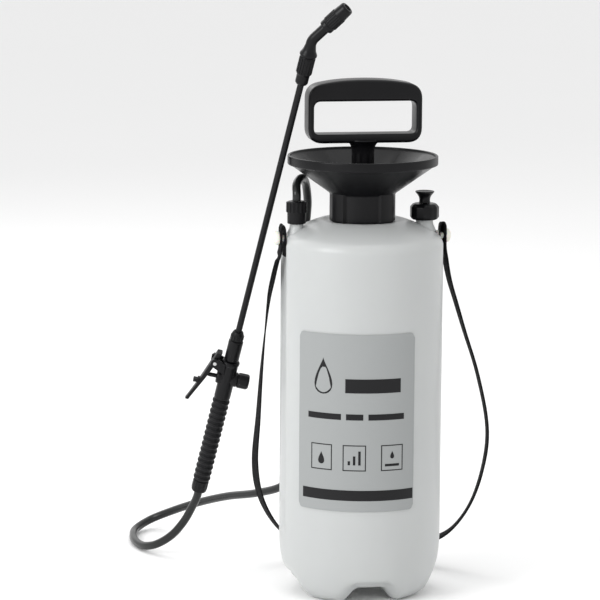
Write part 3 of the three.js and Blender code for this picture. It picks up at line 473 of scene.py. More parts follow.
def webbing():
    """Woven strap: ribs across it and a run of threads along it."""
    if "strap_webbing" in bpy.data.materials:
        return bpy.data.materials["strap_webbing"]
    material = moulded("strap_webbing", (0.004, 0.004, 0.005), (0.01, 0.01, 0.011), (0.75, 0.9), 2500, 0.3,
                       Specular_IOR_Level=0.15)
    nodes = material.node_tree.nodes
    weave = nodes.new("ShaderNodeTexWave")
    weave.inputs["Scale"].default_value = 1.0
    weave.bands_direction = "DIAGONAL"
    cloth = nodes.new("ShaderNodeUVMap")
    cloth.uv_map = "run"
    lift = nodes.new("ShaderNodeBump")
    lift.inputs["Strength"].default_value = 0.6
    lift.inputs["Distance"].default_value = 0.0004
    wire(material.node_tree, (cloth, 0, weave, "Vector"), (weave, "Fac", lift, "Height"),
         (lift, "Normal", nodes["Principled BSDF"], "Normal"))
    return material


FINISHES = {
    "tank_plastic": tank_plastic, "black_plastic": black_plastic, "satin_black": satin_black, "hose_pvc": hose_vinyl,
    "webbing": webbing, "stud_plastic": stud_plastic, "seal_rubber": seal_rubber, "steel": bare_steel,
    "inner_plastic": inner_plastic, "label_film": label_film,
}


# ---------- settings ----------
class TankSizes(bpy.types.PropertyGroup):
    """Sizes of the tank's own surface."""
    radius: bpy.props.FloatProperty(name="Radius", description="Outer radius of the wall, mm", default=81,
                                    min=40)
    wall: bpy.props.FloatProperty(name="Wall", description="Thickness of the wall, mm", default=3, min=1)
    arch: bpy.props.FloatProperty(name="Arch", description="Height of the arches between the feet, mm",
                                  default=15)
    label_half: bpy.props.FloatProperty(name="Label half angle",
                                        description="Half of the label's arc, degrees",
                                        default=44)


class LanceSizes(bpy.types.PropertyGroup):
    """Sizes of the lance's repeated details."""
    grip_rings: bpy.props.IntProperty(name="Grip rings", description="Rings on the grip", default=15, min=1)
    nozzle_ribs: bpy.props.IntProperty(name="Nozzle ribs", description="Ribs round the nozzle cap",
                                       default=20, min=3)
    nut_ribs: bpy.props.IntProperty(name="Nut ribs", description="Ribs round the upper nut", default=16,
                                    min=3)


class CordSizes(bpy.types.PropertyGroup):
    """Sizes of the hose and the strap."""
    hose: bpy.props.FloatProperty(name="Hose diameter", description="Outer diameter of the hose",
                                  default=0.0085, unit="LENGTH")
    strap: bpy.props.FloatProperty(name="Strap width", description="Width of the webbing", default=0.015,
                                   unit="LENGTH")
    strap_thick: bpy.props.FloatProperty(name="Strap thickness", description="Thickness of the webbing",
                                         default=0.0016, unit="LENGTH")


class StudioSizes(bpy.types.PropertyGroup):
    """Camera and light."""
    distance: bpy.props.FloatProperty(name="Distance",
                                      description="Camera to the tank's axis, over the ground",
                                      default=3.5, unit="LENGTH")
    height: bpy.props.FloatProperty(name="Height", description="Camera above the floor", default=0.856,
                                    unit="LENGTH")
    lens: bpy.props.FloatProperty(name="Lens", description="Focal length in mm", default=212.6)
    floor: bpy.props.FloatVectorProperty(name="Floor", description="Colour of the floor", subtype="COLOR",
                                         default=(0.93, 0.93, 0.93))


# ---------- studio ----------
class SPRAYER_OT_stage(bpy.types.Operator):
    """Make the floor, the soft lights and the camera"""
    bl_idname = "sprayer.stage"
    bl_label = "Studio"

    def execute(self, context):
        scene = context.scene
        sizes = scene.sprayer_studio
        azimuth = math.radians(-11)
        away = Vector((-math.sin(azimuth), math.cos(azimuth), 0))
        aside = Vector((away.y, -away.x, 0))
        pitch = math.radians(9.1)
        yaw = math.radians(1.007)
        level = away * math.cos(yaw) - aside * math.sin(yaw)
        forward = level * math.cos(pitch) - Vector((0, 0, math.sin(pitch)))
        right = Vector((level.y, -level.x, 0))
        up = right.cross(forward)
        roll = math.radians(0.4)
        right, up = right * math.cos(roll) + up * math.sin(roll), up * math.cos(roll) - right * math.sin(roll)
        data = bpy.data.cameras.new("camera")
        data.lens = sizes.lens
        data.sensor_width = 36
        data.clip_end = 30
        camera = bpy.data.objects.new("camera", data)
        place = Matrix((right, up, -forward)).transposed().to_4x4()
        camera.matrix_world = Matrix.Translation(AXIS - away * sizes.distance + Vector((0, 0,
                                                            sizes.height))) @ place
        scene.collection.objects.link(camera)
        scene.camera = camera

        bm = bmesh.new()
        bmesh.ops.create_grid(bm, x_segments=8, y_segments=8, size=30)
        floor = settle("floor", bm, moulded("floor_paint", tuple(c * 0.99 for c in sizes.floor),
                                            tuple(sizes.floor),
                                            (0.7, 0.8), 40, 0.02, 2))
        self.light("key_light", (-2.3, -1.3, 1.5), 1.2, 40, scene)
        self.light("fill_light", (1.9, -1.5, 1.5), 1.8, 1, scene)
        self.light("back_light", (-0.8, 1.9, 1.7), 1.6, 14, scene)
        self.light("top_light", (0.1, 0.0, 2.3), 1.6, 8, scene)
        world = bpy.data.worlds.new("studio")
        world.use_nodes = True
        world.node_tree.nodes["Background"].inputs["Color"].default_value = (1, 1, 1, 1)
        world.node_tree.nodes["Background"].inputs["Strength"].default_value = 0.9
        scene.world = world
        scene.view_settings.view_transform = "Standard"
        return {"FINISHED"}

    @staticmethod
    def light(name, where, size, power, scene):
        data = bpy.data.lights.new(name, "AREA")
        data.size = size
        data.energy = power
        lamp = bpy.data.objects.new(name, data)
        lamp.location = AXIS + Vector(where)
        lamp.rotation_euler = (AXIS + Vector((0, 0, 0.28)) - lamp.location).to_track_quat("-Z",
                                                            "Y").to_euler()
        scene.collection.objects.link(lamp)


# ---------- cords ----------
class SPRAYER_OT_cords(bpy.types.Operator):
    """Make the hose and the carry strap"""
    bl_idname = "sprayer.cords"
    bl_label = "Hose and strap"

    def execute(self, context):
        sizes = context.scene.sprayer_cords
        near_grip = [tuple((LANCE_FOOT - AXIS) / MM - LANCE_Z * distance) for distance in (8, 0.6)]
        line = [STAND @ p for p in smooth_route(HOSE_ROUTE + near_grip)]
        curve = bpy.data.curves.new("hose_line", "CURVE")
        curve.dimensions = "3D"
        curve.bevel_depth = sizes.hose / 2
        curve.bevel_resolution = 7
        curve.use_fill_caps = True
        spline = curve.splines.new("POLY")
        spline.points.add(len(line) - 1)
        for spot, point in zip(spline.points, line):
            spot.co = (*point, 1)
        spline.use_smooth = True
        curve.materials.append(hose_vinyl())
        hose = bpy.data.objects.new("hose_line", curve)
        context.scene.collection.objects.link(hose)
        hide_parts("hose")
        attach(hose, "tank")
        self.strap(sizes)
        return {"FINISHED"}

    @staticmethod
    def strap(sizes):
        line = smooth_route(STRAP_ROUTE, 7)
        half = sizes.strap / 2 / MM
        thick = sizes.strap_thick / 2 / MM
        section = [(-half, -thick * 0.5), (-half + 0.4, -thick), (half - 0.4, -thick), (half, -thick * 0.5),
                   (half, thick * 0.5), (half - 0.4, thick), (-half + 0.4, thick), (-half, thick * 0.5)]
        bm = bmesh.new()
        rings = []
        run = 0
        across = Vector((0, 1, 0))
        layer = bm.loops.layers.uv.new("run")
        runs = {}
        for i, point in enumerate(line):
            along = (line[min(i + 1, len(line) - 1)] - line[max(i - 1, 0)]).normalized()
            hang = Vector((point.x, 0, point.z - 200)).normalized()
            if point.z < 340:
                wanted = along.cross(hang).normalized()
                across = wanted if wanted.dot(across) > 0 else -wanted
            across = (across - along * across.dot(along)).normalized()
            out = across.cross(along)
            ring = [bm.verts.new(STAND @ (point + across * u + out * v)) for u, v in section]
            for vert, (u, _) in zip(ring, section):
                runs[vert] = (run * 1.6, u * 1.6)
            rings.append(ring)
            if i + 1 < len(line):
                run += (line[i + 1] - point).length
        skin(bm, rings)
        for face in bm.faces:
            for loop in face.loops:
                loop[layer].uv = runs[loop.vert]
        strap = settle("strap_band", bm, webbing(), 50)
        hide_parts("carry_strap")
        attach(strap, "tank")


def made(piece, body, slot, *nodes):
    """Say which body a piece rides on and which frame nodes it stands for; the slot argument is not used."""
    if nodes:
        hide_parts(*nodes)
    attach(piece, body)


def lathed(name, corners, place, slot, body, *nodes, sides=64, shape=None, steps=4):
    """A turned piece in its slot's finish."""
    made(turned(name, corners, place, FINISHES[slot](), sides, shape, steps), body, slot, *nodes)


def ribbed(name, count, ring, rib, length, height, place, body):
    """Black ribs round a piece, standing in a ring."""
    sizes = {"Count": count, "Ring Radius": ring, "Rib Radius": rib, "Length": length, "Height": height}
    made(grown(name, rib_ring_tree(), sizes, black_plastic(), place), body, "black_plastic")


def moved(place, x=0, y=0, z=0):
    return place @ Matrix.Translation((x, y, z))


# ---------- tank ----------
WALL_TOP = 352.6
SHOULDER = 12
DOME = 141.5
WALL_FOOT = 46
SEAT_Z = 376.5
STUD_Z = 360
OUTLET_X = -66.5
RELIEF_X = 63.3


def ease(low, high, value):
    t = min(max((value - low) / (high - low), 0), 1)
    return t * t * (3 - 2 * t)


def dome_height(sizes, radius):
    reach = DOME - SHOULDER
    centre = WALL_TOP - math.sqrt(reach ** 2 - (sizes.radius - SHOULDER) ** 2)
    return centre + math.sqrt(DOME ** 2 - radius ** 2)


def tank_corners(sizes, inset):
    """The tank's outline from the middle of its underside to the neck, moved in by a thickness."""
    radius = sizes.radius - inset
    corners = [(0, 13 + inset, 0), (22, 12 + inset, 10), (42, 4.5 + inset, 12), (52, inset, 6),
               (61 - inset * 0.6, inset, 6),
               (71 - inset, 9, 8), (77 - inset, 24, 14), (radius, WALL_FOOT, 16), (radius, WALL_TOP - 6, 3)]
    turn = math.atan2(math.sqrt((DOME - SHOULDER) ** 2 - (sizes.radius - SHOULDER) ** 2),
                      sizes.radius - SHOULDER)
    for k in range(9):
        angle = turn * k / 8
        corners.append((sizes.radius - SHOULDER + (SHOULDER - inset) * math.cos(angle),
                        WALL_TOP + (SHOULDER - inset) * math.sin(angle), 0))
    for k in range(8):
        r = 72 - k * 4.1
        corners.append((r, dome_height(sizes, r) - inset, 0))
    return corners


class SPRAYER_OT_tank(bpy.types.Operator):
    """Make the blow-moulded tank with its feet, spigots and neck"""
    bl_idname = "sprayer.tank"
    bl_label = "Tank"

    def execute(self, context):
        sizes = context.scene.sprayer_tank
        bm = bmesh.new()
        outer = tank_corners(sizes, 0) + [(39, SEAT_Z + 1, 1.5), (36, SEAT_Z, 1), (27, SEAT_Z, 0.6),
                                          (27, 390, 0.8), (23, 390, 0.8)]
        inner = [(23, SEAT_Z - 3, 1), (36, SEAT_Z - 3.2, 2)] + tank_corners(sizes, sizes.wall)[::-1]
        add_turned(bm, softened(outer + inner, 5), STAND, 128,
                   lambda r, z, angle: self.foot(sizes, r, z, angle))
        tank = settle("tank_body", bm, tank_plastic(), 60)
        made(tank, "tank", "tank_plastic", "tank")
        for name, x, radius, top, bore in (("outlet_spigot", OUTLET_X, 6.8, 374, 4.2),
                                           ("relief_spigot", RELIEF_X, 8.5, 384, 6.4)):
            foot = dome_height(sizes, abs(x)) - 5
            corners = [(bore, foot, 0), (radius + 3.4, foot, 0), (radius + 1.4, foot + 4.6, 2), (radius,
                                                            foot + 8, 2.4),
                       (radius, top, 0.5), (bore, top, 0.5)]
            lathed(name, corners, moved(STAND, x), "tank_plastic", "tank", sides=48)
        return {"FINISHED"}

    @staticmethod
    def foot(sizes, radius, z, angle):
        turn = angle / (math.pi / 2)
        off_arch = abs(turn - round(turn)) * 90
        lift = 0
        if z < WALL_FOOT:
            along = ease(20, 42, radius) * (1 - ease(67, sizes.radius, radius))
            lift = sizes.arch * (1 - ease(11, 29, off_arch)) * along
        x = radius * math.cos(angle)
        face = 77.2
        if radius > 70 and abs(x) > face and abs(radius * math.sin(angle)) < 30 and 318 < z < 372:
            depth = min(ease(322, 336, z), 1 - ease(364, 370, z)) * (1 - ease(11.5, 15,
                                                            abs(radius * math.sin(angle))))
            radius -= (abs(x) - face) / abs(math.cos(angle)) * depth
        return radius, z + lift


class SPRAYER_OT_studs(bpy.types.Operator):
    """Make the two mushroom studs that hold the strap"""
    bl_idname = "sprayer.studs"
    bl_label = "Strap studs"

    def execute(self, context):
        corners = [(0, 75, 0), (5.4, 75, 0), (5.2, 77.8, 0.8), (3.2, 79, 1), (3.2, 83.4, 0.8), (6.6, 83.9,
                                                            0.8),
                   (7.2, 85.2, 1), (6.6, 88.4, 2), (3.4, 90, 2.4), (0, 90, 0)]
        for side, name in ((-1, "left"), (1, "right")):
            place = moved(STAND, z=STUD_Z) @ Matrix.Rotation(side * math.pi / 2, 4, "Y")
            lathed("stud_" + name, corners, place, "stud_plastic", "tank", "strap_stud_" + name, sides=48)
        return {"FINISHED"}


# ---------- label ----------
LABEL_MIDDLE = -104.6
LABEL_LOW = 97
LABEL_HIGH = 274
FILM_RADIUS = 81.3
INK_LIFT = 0.4
INK_THICK = 0.12


def add_patch(bm, outline, lift, thick, place):
    """Add an outline of (along, up) millimetres bent round the tank."""
    radius = FILM_RADIUS + lift
    middle_angle = math.radians(LABEL_MIDDLE)
    rings = []
    for depth in (0, thick):
        rings.append([bm.verts.new(place @ Vector((
            (radius + depth) * math.cos(middle_angle + u / FILM_RADIUS),
            (radius + depth) * math.sin(middle_angle + u / FILM_RADIUS), v))) for u, v in outline])
    count = len(outline)
    for k in range(count):
        bm.faces.new((rings[0][k], rings[0][(k + 1) % count], rings[1][(k + 1) % count], rings[1][k]))
    return rings


def add_panel(bm, left, right, low, high, lift, thick, place, rounding=0.0, frame_width=None):
    """Add a bent rectangle as a run of strips, or its frame alone."""
    if frame_width:
        for a, b, c, d in ((left, right, low, low + frame_width), (left, right, high - frame_width, high),
                           (left, left + frame_width, low + frame_width, high - frame_width),
                           (right - frame_width, right, low + frame_width, high - frame_width)):
            add_panel(bm, a, b, c, d, lift, thick, place)
        return
    strips = max(1, int((right - left) / 2.2))
    columns = []
    for k in range(strips + 1):
        u = left + (right - left) * k / strips
        near = min(u - left, right - u)
        cut = rounding - math.sqrt(max(rounding ** 2 - (rounding - near) ** 2, 0)) if near < rounding else 0
        angle = math.radians(LABEL_MIDDLE) + u / FILM_RADIUS
        column = []
        for depth, v in ((0, low + cut), (thick, low + cut), (thick, high - cut), (0, high - cut)):
            radius = FILM_RADIUS + lift + depth
            column.append(bm.verts.new(place @ Vector((radius * math.cos(angle), radius * math.sin(angle),
                                                       v))))
        columns.append(column)
    skin(bm, columns)


class SPRAYER_OT_label(bpy.types.Operator):
    """Make the printed film with plain bars and simple signs"""
    bl_idname = "sprayer.label"
    bl_label = "Label"

    def execute(self, context):
        reach = math.radians(context.scene.sprayer_tank.label_half) * FILM_RADIUS
        bm = bmesh.new()
        add_panel(bm, -reach, reach, LABEL_LOW, LABEL_HIGH, 0.05, 0.35, STAND, 5)
        film = settle("label_sheet", bm, label_film(), 60)
        made(film, "tank", "label_film", "label")
        ink = bmesh.new()
        add_panel(ink, -reach + 6, reach - 1, 108, 118.5, INK_LIFT, INK_THICK, STAND)
        for left in (-46, -12, 26):
            add_panel(ink, left, left + 23, 138, 164, INK_LIFT, INK_THICK, STAND, 0, 1)
        self.drop(ink, -34.5, 150, 6.5)
        for k in range(3):
            add_panel(ink, -7 + k * 5.2, -4.6 + k * 5.2, 144, 148 + k * 5, INK_LIFT, INK_THICK, STAND)
        self.drop(ink, 37.5, 154, 4)
        add_panel(ink, 30, 45, 142.5, 145, INK_LIFT, INK_THICK, STAND)
        self.drop(ink, -33, 232, 19)
        add_panel(ink, -10, 46, 216, 230, INK_LIFT, INK_THICK, STAND)
        for left, right in ((-50, -14), (-9, 8), (13, 50)):
            add_panel(ink, left, right, 189, 195, INK_LIFT, INK_THICK, STAND)
        print_piece = settle("label_print", ink, label_ink(), 60)
        made(print_piece, "tank", "label_film")
        return {"FINISHED"}

    @staticmethod
    def drop(bm, along, up, size):
        """A plain drop: round below, pointed above."""
        outline = []
        for k in range(28):
            angle = 2 * math.pi * k / 28
            narrow = math.sin(angle / 2) ** 1.6
            outline.append((along + size * 0.75 * math.sin(angle) * narrow,
                            up + size * math.cos(angle) * 0.95))
        rings = add_patch(bm, outline[::-1], INK_LIFT, INK_THICK, STAND)
        bm.faces.new(rings[1])
        bm.faces.new(rings[0][::-1])


# ---------- collar, outlet and relief valve ----------
class SPRAYER_OT_collar(bpy.types.Operator):
    """Make the funnel collar with its four grip lobes"""
    bl_idname = "sprayer.collar"
    bl_label = "Funnel collar"

    def execute(self, context):
        ledge = 392.6
        corners = [(27.6, 376.9, 0.4), (32.5, 376.9, 1), (32.5, 390, 0), (32.5, 404, 2.5), (72.6, 432.8, 1.5),
                   (75, 432.9, 1.2), (75, 442, 1.4), (72.4, 442, 1), (72.2, 439.6, 1.5), (28.5, 410.5,
                                                            2), (26, 408, 1.5),
                   (26, ledge + 3, 0.4), (21, ledge + 3, 0.6), (21, ledge, 0.6), (27.6, ledge, 0.4)]
        lathed("funnel", corners, STAND, "black_plastic", "tank", "funnel_collar", sides=192, shape=self.lobe,
            steps=6)
        return {"FINISHED"}

    @staticmethod
    def lobe(radius, z, angle):
        off = (math.degrees(angle) - 34 + 45) % 90 - 45
        if 30 < radius < 45 and z < 412:
            wanted = 36 - 3.2 * ease(12.5, 16.5, abs(off))
            radius = max(radius, wanted - (0.8 if z < 377.4 else 0))
        return radius, z


def add_facets(radius, count, softness=0.35):
    """A shape that cuts flat facets around the outer part of a turned piece."""
    def shape(r, z, angle):
        off = (angle + math.pi / count) % (2 * math.pi / count) - math.pi / count
        if r > radius - 4:
            flat = math.cos(math.pi / count) / math.cos(off)
            r *= flat + (1 - flat) * softness * abs(off) / (math.pi / count)
        return r, z
    return shape


class SPRAYER_OT_fittings(bpy.types.Operator):
    """Make the outlet nut and the relief valve's cap and pull knob"""
    bl_idname = "sprayer.fittings"
    bl_label = "Outlet and relief valve"

    def execute(self, context):
        at_outlet = moved(STAND, OUTLET_X)
        lathed("outlet_nut_body", [(5, 374.4, 0.3), (9.2, 374.4, 0.8), (9.3, 385, 0.6), (9.6, 386, 0.6),
            (9.6, 396, 1.2), (8.2, 396.9, 0.8), (4.6, 396.9, 0.8), (4.4, 394, 0.5)], at_outlet,
            "black_plastic", "tank", "outlet_nut", sides=72)
        ribbed("outlet_nut_ribs", 15, 9.25, 1.15, 10.2, 390.9, at_outlet, "tank")
        at_relief = moved(STAND, RELIEF_X)
        lathed("relief_cap_body", [(8.9, 376.5, 0.4), (12.4, 376.5, 0.8), (14.5, 379, 1), (14.5, 389.4, 1),
            (11.6, 392.6, 1.4), (3.5, 392.7, 0.6), (3.5, 386.8, 0.4), (8.9, 386.8, 0.4)], at_relief,
            "black_plastic", "tank", "relief_cap", sides=144, shape=add_facets(13.5, 12))
        lathed("relief_knob", [(0, 372.7, 0), (5, 372.7, 0.4), (5, 374.2, 0.4), (2.2, 374.4, 0.4),
            (2.2, 393, 0.3), (5.7, 393.1, 0.6), (5.2, 396.2, 2), (6.2, 400, 3), (9.3, 403.6, 1),
            (9.6, 404.6, 0.5), (9.1, 405, 0.4), (6.4, 404.4, 0.6), (0, 403.8, 0)], at_relief, "black_plastic",
            "relief", "relief_stem")
        return {"FINISHED"}


# ---------- pump ----------
class SPRAYER_OT_pump(bpy.types.Operator):
    """Make the pump's cylinder and rod"""
    bl_idname = "sprayer.pump"
    bl_label = "Pump"

    def execute(self, context):
        lathed("cylinder_shell", [(2.4, 118, 0.2), (17.8, 118, 1), (19, 119.2, 0.8), (19, 398.1, 0.4),
            (24.9, 398.2, 0.4), (24.9, 401.2, 0.5), (17, 401.2, 0.4), (17, 121, 0.6), (2.4, 121, 0.2)], STAND,
            "inner_plastic", "pump", "pump_cylinder", sides=96)
        lathed("rod_shaft", [(0, 136, 0), (4.4, 136, 0.4), (5, 136.8, 0.3), (5, 446.4, 0.4), (4.4, 447, 0.3),
            (0, 447, 0)], STAND, "inner_plastic", "plunger", "pump_rod", sides=48)
        return {"FINISHED"}


HANDLE_DEPTH = 27
HANDLE_BEVEL = 3.2


class SPRAYER_OT_handle(bpy.types.Operator):
    """Make the D handle and its fluted shank"""
    bl_idname = "sprayer.handle"
    bl_label = "Pump handle"

    def execute(self, context):
        half, foot, top = 57.4, 455, 518
        outer = softened([(-half, foot, 15), (-half, top - 6.5, 13), (-30, top - 1, 30), (0, top + 0.3, 30),
                              (30, top - 1, 30), (half, top - 6.5, 13), (half, foot, 15)], 8)
        opening = softened([(-half + 6, foot + 9, 6), (-half + 6, top - 21.5, 7), (half - 6, top - 21.5, 7),
                                (half - 6, foot + 9, 6)], 8)
        curve = bpy.data.curves.new("handle_outline", "CURVE")
        curve.dimensions = "2D"
        curve.fill_mode = "BOTH"
        curve.extrude = HANDLE_DEPTH / 2 - HANDLE_BEVEL
        curve.bevel_depth = HANDLE_BEVEL
        curve.bevel_resolution = 5
        curve.offset = -HANDLE_BEVEL
        for points in (outer, opening):
            spline = curve.splines.new("POLY")
            spline.points.add(len(points) - 1)
            spline.use_cyclic_u = True
            for spot, (x, z) in zip(spline.points, points):
                spot.co = (x, z, 0, 1)
        flat = bpy.data.objects.new("handle_flat", curve)
        context.scene.collection.objects.link(flat)
        context.view_layer.update()
        mesh = bpy.data.meshes.new_from_object(flat.evaluated_get(context.evaluated_depsgraph_get()))
        bpy.data.objects.remove(flat)
        bm = bmesh.new()
        bm.from_mesh(mesh)
        upright = STAND @ UPRIGHT
        bmesh.ops.transform(bm, matrix=upright, verts=bm.verts)
        bmesh.ops.dissolve_degenerate(bm, edges=bm.edges, dist=1e-6)
        made(settle("handle_loop", bm, black_plastic(), 28), "plunger", "black_plastic", "pump_handle")
        lathed("handle_shank", [(5.4, 412.3, 0.3), (11.2, 412.3, 0.8), (11.2, 440, 0), (11.2, 446, 3),
            (12.6, 453, 4), (17.5, 456.4, 3), (17, 458, 0.5), (5.4, 458, 0)], STAND, "black_plastic",
            "plunger", sides=160, shape=self.flute)
        return {"FINISHED"}

    @staticmethod
    def flute(radius, z, angle):
        if radius > 9 and z < 445:
            radius -= 0.8 * ease(0.1, 0.6, math.cos(angle * 10)) * (1 - ease(438, 444, z))
        return radius, z


# ---------- grip and trigger valve ----------
GRIP_FOOT = 13.8
GRIP_END = 112.5
LOCK_AT = 128
VALVE_AT = 137
PIVOT_AT = 154
PIVOT_OUT = 16
LEVER_SLOPE = 18 / 49.5


def lever_out(z):
    return PIVOT_OUT + LEVER_SLOPE * (PIVOT_AT - z)


class SPRAYER_OT_grip(bpy.types.Operator):
    """Make the ribbed grip, the end cap and the trigger valve"""
    bl_idname = "sprayer.grip"
    bl_label = "Grip and trigger"

    def execute(self, context):
        rings = context.scene.sprayer_lance.grip_rings
        lathed("end_cap_body", [(4.4, 0, 0.4), (7.2, 0, 0.8), (8, 1.4, 0.8), (8, 13.3, 0.6), (5.9, 13.3, 0.3),
            (5.9, 3.2, 0.3), (4.4, 3.2, 0.3)], LANCE, "black_plastic", "tank", "grip_end_cap")
        ribbed("end_cap_ribs", 14, 7.5, 0.8, 9, 7.8, LANCE, "tank")
        lathed("grip_tube", [(6.8, GRIP_FOOT, 0.3), (7.6, GRIP_FOOT, 0.4), (7.6, GRIP_END, 0.4),
            (6.8, GRIP_END, 0.3)], LANCE, "satin_black", "tank", "grip_sleeve")
        pitch = (GRIP_END - GRIP_FOOT - 6) / (rings - 1)
        sizes = {"Count": rings, "Ring Radius": 6.9, "Ring Thickness": 2.1, "Pitch": pitch, "Height": 16.8}
        made(grown("grip_rings", ring_stack_tree(), sizes, satin_black(), LANCE), "tank", "satin_black")
        lathed("valve_barrel", [(3.4, 112.8, 0.3), (7.6, 112.8, 0.8), (8.4, 114.5, 1), (8.4, 153, 1),
            (9.2, 154.6, 0.6), (9.2, 156.6, 0.6), (7.9, 157.9, 0.6), (3.4, 157.9, 0.3)], LANCE,
            "black_plastic", "tank", "valve_body")
        across = moved(LANCE, z=VALVE_AT) @ ACROSS
        lathed("valve_boss", [(2.6, -11, 0.3), (6.4, -11, 1), (7.2, -9.4, 1), (7.6, 0, 2), (7.6, 10.6, 0.6),
            (5, 10.6, 0.3), (5, -2, 0.2), (2.6, -2, 0.2)], across, "black_plastic", "tank", sides=56)
        bm = bmesh.new()
        for side in (-1, 1):
            ear = [(-20, 151), (-20.2, 156.5), (-18, 159), (-14, 159), (-5, 155.5), (-4, 143), (-8, 145)]
            add_slab(bm, ear, -1.3, 1.3, moved(LANCE, y=side * 6.6) @ UPRIGHT, 0.4)
        made(settle("valve_ears", bm, black_plastic()), "tank", "black_plastic")
        lathed("side_knob", [(5.4, 11, 0.3), (7.3, 11, 0.6), (8.1, 12.2, 0.8), (8.1, 21.2, 1), (6.6, 23, 1),
            (0, 23, 0), (0, 20.6, 0), (5.4, 20.6, 0.3)], across, "black_plastic", "tank", "valve_cap",
            sides=96, shape=add_facets(6, 10, 0.6))
        self.lever()
        lathed("lever_pin", [(0, -8.2, 0), (1.9, -8.2, 0.5), (1.9, -7.6, 0.2), (1.45, -7.6, 0.2),
            (1.45, 7.6, 0.2), (1.9, 7.6, 0.2), (1.9, 8.2, 0.5), (0, 8.2, 0)],
            moved(LANCE, -PIVOT_OUT, z=PIVOT_AT) @ UPRIGHT, "steel", "tank", "trigger_pin",
            sides=32)
        return {"FINISHED"}

    @staticmethod
    def lever():
        """The trigger, a curved blade, and the lock tab that sits on it."""
        spine = [Vector((-lever_out(z) - 1.3 + 0.9 * math.sin((z - 104) * 0.05), 0, z)) for z in range(105,
                                                            166, 3)]
        bm = bmesh.new()
        rings = []
        for i, spot in enumerate(spine):
            share = i / (len(spine) - 1)
            wide = 3.2 + 1.8 * ease(0, 0.6, share)
            thick = 1.8 + 0.9 * ease(0.1, 0.8, share)
            outline = [(thick * math.copysign(abs(math.cos(a)) ** 0.5, math.cos(a)),
                        wide * math.copysign(abs(math.sin(a)) ** 0.35, math.sin(a)))
                       for a in (2 * math.pi * k / 24 for k in range(24))]
            rings.append([bm.verts.new(LANCE @ (spot + Vector((u, v, 0)))) for u, v in outline])
        skin(bm, rings)
        made(settle("trigger_blade", bm, black_plastic(), 50), "trigger", "black_plastic", "trigger_lever")
        lock = bmesh.new()
        out = -lever_out(LOCK_AT) - 2.6
        hook = [(out - 5.2, -1.7), (out - 0.6, -1.7), (out - 1, -3.2), (out + 0.8, -3.2), (out + 0.8, 3.2),
            (out - 1, 3.2), (out - 0.6, 1.7), (out - 5.2, 1.7)]
        add_slab(lock, hook, -3.1, 3.1, moved(LANCE, z=LOCK_AT) @ UPRIGHT, 0.4)
        made(settle("lock_tab", lock, satin_black()), "lock", "satin_black", "trigger_lock")


# ---------- lance and nozzle ----------
ELBOW_PIPE = 5.3
BEND_RADIUS = 14


class SPRAYER_OT_lance(bpy.types.Operator):
    """Make the lance tube, its two nuts, the elbow and the nozzle cap"""
    bl_idname = "sprayer.lance"
    bl_label = "Lance and nozzle"

    def execute(self, context):
        sizes = context.scene.sprayer_lance
        lathed("socket_body", [(3.6, 158.3, 0.3), (6.6, 158.3, 0.8), (7.5, 160, 1), (7.5, 181.5, 1),
            (5.4, 182.6, 0.5), (3.6, 182.6, 0.3)], LANCE, "black_plastic", "tank", "lance_socket")
        lathed("lower_nut_body", [(3.6, 182.8, 0.2), (6.3, 182.8, 0.6), (6.3, 189, 0.6), (5, 192.5, 0.8),
            (3.5, 192.5, 0.3)], LANCE, "black_plastic", "tank", "lower_nut", sides=48)
        ribbed("lower_nut_ribs", 12, 6.1, 0.8, 5.4, 186, LANCE, "tank")
        lathed("lance_pipe", [(2.25, 167, 0.1), (3.25, 167, 0.3), (3.25, 300, 0), (3.25, 493, 0.3),
            (2.25, 493, 0.1)], LANCE, "satin_black", "tank", "lance_tube", sides=40)
        lathed("upper_nut_body", [(3.6, 475, 0.3), (4.8, 475, 0.6), (6.4, 477, 1), (6.5, 485.6, 0.8),
            (7.2, 487, 0.8), (7.3, 505.2, 0.8), (6.2, 506, 0.4), (3.6, 506, 0.3)], LANCE, "black_plastic",
            "tank", "upper_nut")
        ribbed("upper_nut_ribs", sizes.nut_ribs, 7.15, 0.85, 17, 496, LANCE, "tank")
        lathed("elbow_flange", [(2, 500, 0.3), (5.4, 500, 0.3), (5.6, 506.3, 0.2), (8.6, 506.4, 0.8),
            (8.7, 508.4, 0.8), (6.6, 512, 2), (5.3, 518, 2), (5.2, 519, 0), (2, 519, 0)], LANCE,
            "black_plastic", "tank", "elbow_pipe")
        bend = bmesh.new()
        straight = BEND_RADIUS * math.tan(NOZZLE_TURN / 2)
        route = [Vector((0, 0, BEND_AT - 8)), Vector((0, 0, BEND_AT - straight - 1))]
        for k in range(13):
            angle = NOZZLE_TURN * k / 12
            route.append(Vector((BEND_RADIUS * (1 - math.cos(angle)), 0,
                BEND_AT - straight + BEND_RADIUS * math.sin(angle))))
        along = Vector((math.sin(NOZZLE_TURN), 0, math.cos(NOZZLE_TURN)))
        route += [Vector((0, 0, BEND_AT)) + along * reach for reach in (8, 14, 26)]
        add_swept(bend, route, circle(ELBOW_PIPE, 40), LANCE)
        made(settle("elbow_bend", bend, black_plastic(), 50), "tank", "black_plastic")
        lathed("nozzle_body", [(5.6, 18.5, 0.3), (7, 18.5, 0.6), (7.5, 19.4, 0.6), (7.5, 23, 0.5),
            (6.9, 24, 0.3), (7.5, 24.8, 0.5), (7.5, 36, 0.5), (7.6, 37, 0.6), (7, 47.4, 1), (6.2, 49, 0.8),
            (4, 49, 0.6), (3.5, 46.4, 0.4), (1, 46.4, 0.2), (0.9, 43, 0), (5.6, 43, 0.3)], NOZZLE,
            "black_plastic", "nozzle", "nozzle_cap")
        ribbed("nozzle_ribs", sizes.nozzle_ribs, 7.3, 0.75, 13, 31, NOZZLE, "nozzle")
        return {"FINISHED"}


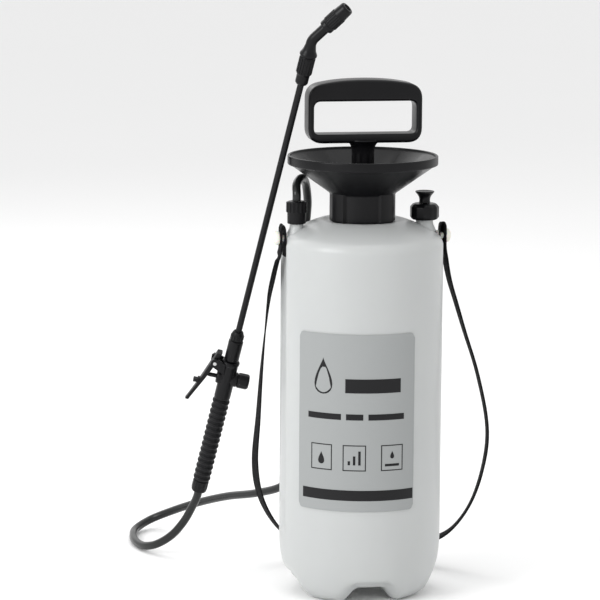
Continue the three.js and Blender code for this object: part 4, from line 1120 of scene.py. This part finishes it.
class SPRAYER_OT_finish_frame(bpy.types.Operator):
    """Give every frame part that still shows the finish of its own material"""
    bl_idname = "sprayer.finish_frame"
    bl_label = "Frame finishes"

    def execute(self, context):
        for part in frame["record"]["subparts"]:
            node = bpy.data.objects.get(part["node"])
            if node and node.type == "MESH":
                material = FINISHES[part["material_slot"]]()
                node.data.materials.clear()
                node.data.materials.append(material)
        return {"FINISHED"}


class SPRAYER_PT_panel(bpy.types.Panel):
    """The sprayer's sizes and pieces"""
    bl_idname = "SPRAYER_PT_panel"
    bl_label = "Compression Sprayer"
    bl_space_type = "VIEW_3D"
    bl_region_type = "UI"
    bl_category = "Sprayer"

    def draw(self, context):
        scene = context.scene
        for group in (scene.sprayer_tank, scene.sprayer_lance, scene.sprayer_cords, scene.sprayer_studio):
            box = self.layout.box()
            for name in group.__annotations__:
                box.prop(group, name)
        for operator in PIECES:
            self.layout.operator(operator.bl_idname)


SETTINGS = {"sprayer_tank": TankSizes, "sprayer_lance": LanceSizes, "sprayer_cords": CordSizes,
            "sprayer_studio": StudioSizes}
PIECES = (SPRAYER_OT_stage, SPRAYER_OT_cords, SPRAYER_OT_tank, SPRAYER_OT_studs, SPRAYER_OT_label,
          SPRAYER_OT_collar, SPRAYER_OT_fittings, SPRAYER_OT_pump, SPRAYER_OT_handle, SPRAYER_OT_grip,
          SPRAYER_OT_lance, SPRAYER_OT_finish_frame)


def register():
    for group in (*SETTINGS.values(), *PIECES, SPRAYER_PT_panel):
        bpy.utils.register_class(group)
    for name, group in SETTINGS.items():
        setattr(bpy.types.Scene, name, bpy.props.PointerProperty(type=group))


def unregister():
    for name in SETTINGS:
        delattr(bpy.types.Scene, name)
    for group in (SPRAYER_PT_panel, *reversed(PIECES), *reversed(SETTINGS.values())):
        bpy.utils.unregister_class(group)


def main():
    register()
    bpy.ops.sprayer.stage()
    bpy.ops.sprayer.cords()
    bpy.ops.sprayer.tank()
    bpy.ops.sprayer.studs()
    bpy.ops.sprayer.label()
    bpy.ops.sprayer.collar()
    bpy.ops.sprayer.fittings()
    bpy.ops.sprayer.pump()
    bpy.ops.sprayer.handle()
    bpy.ops.sprayer.grip()
    bpy.ops.sprayer.lance()
    bpy.ops.sprayer.finish_frame()


if __name__ == "__main__":
    main()
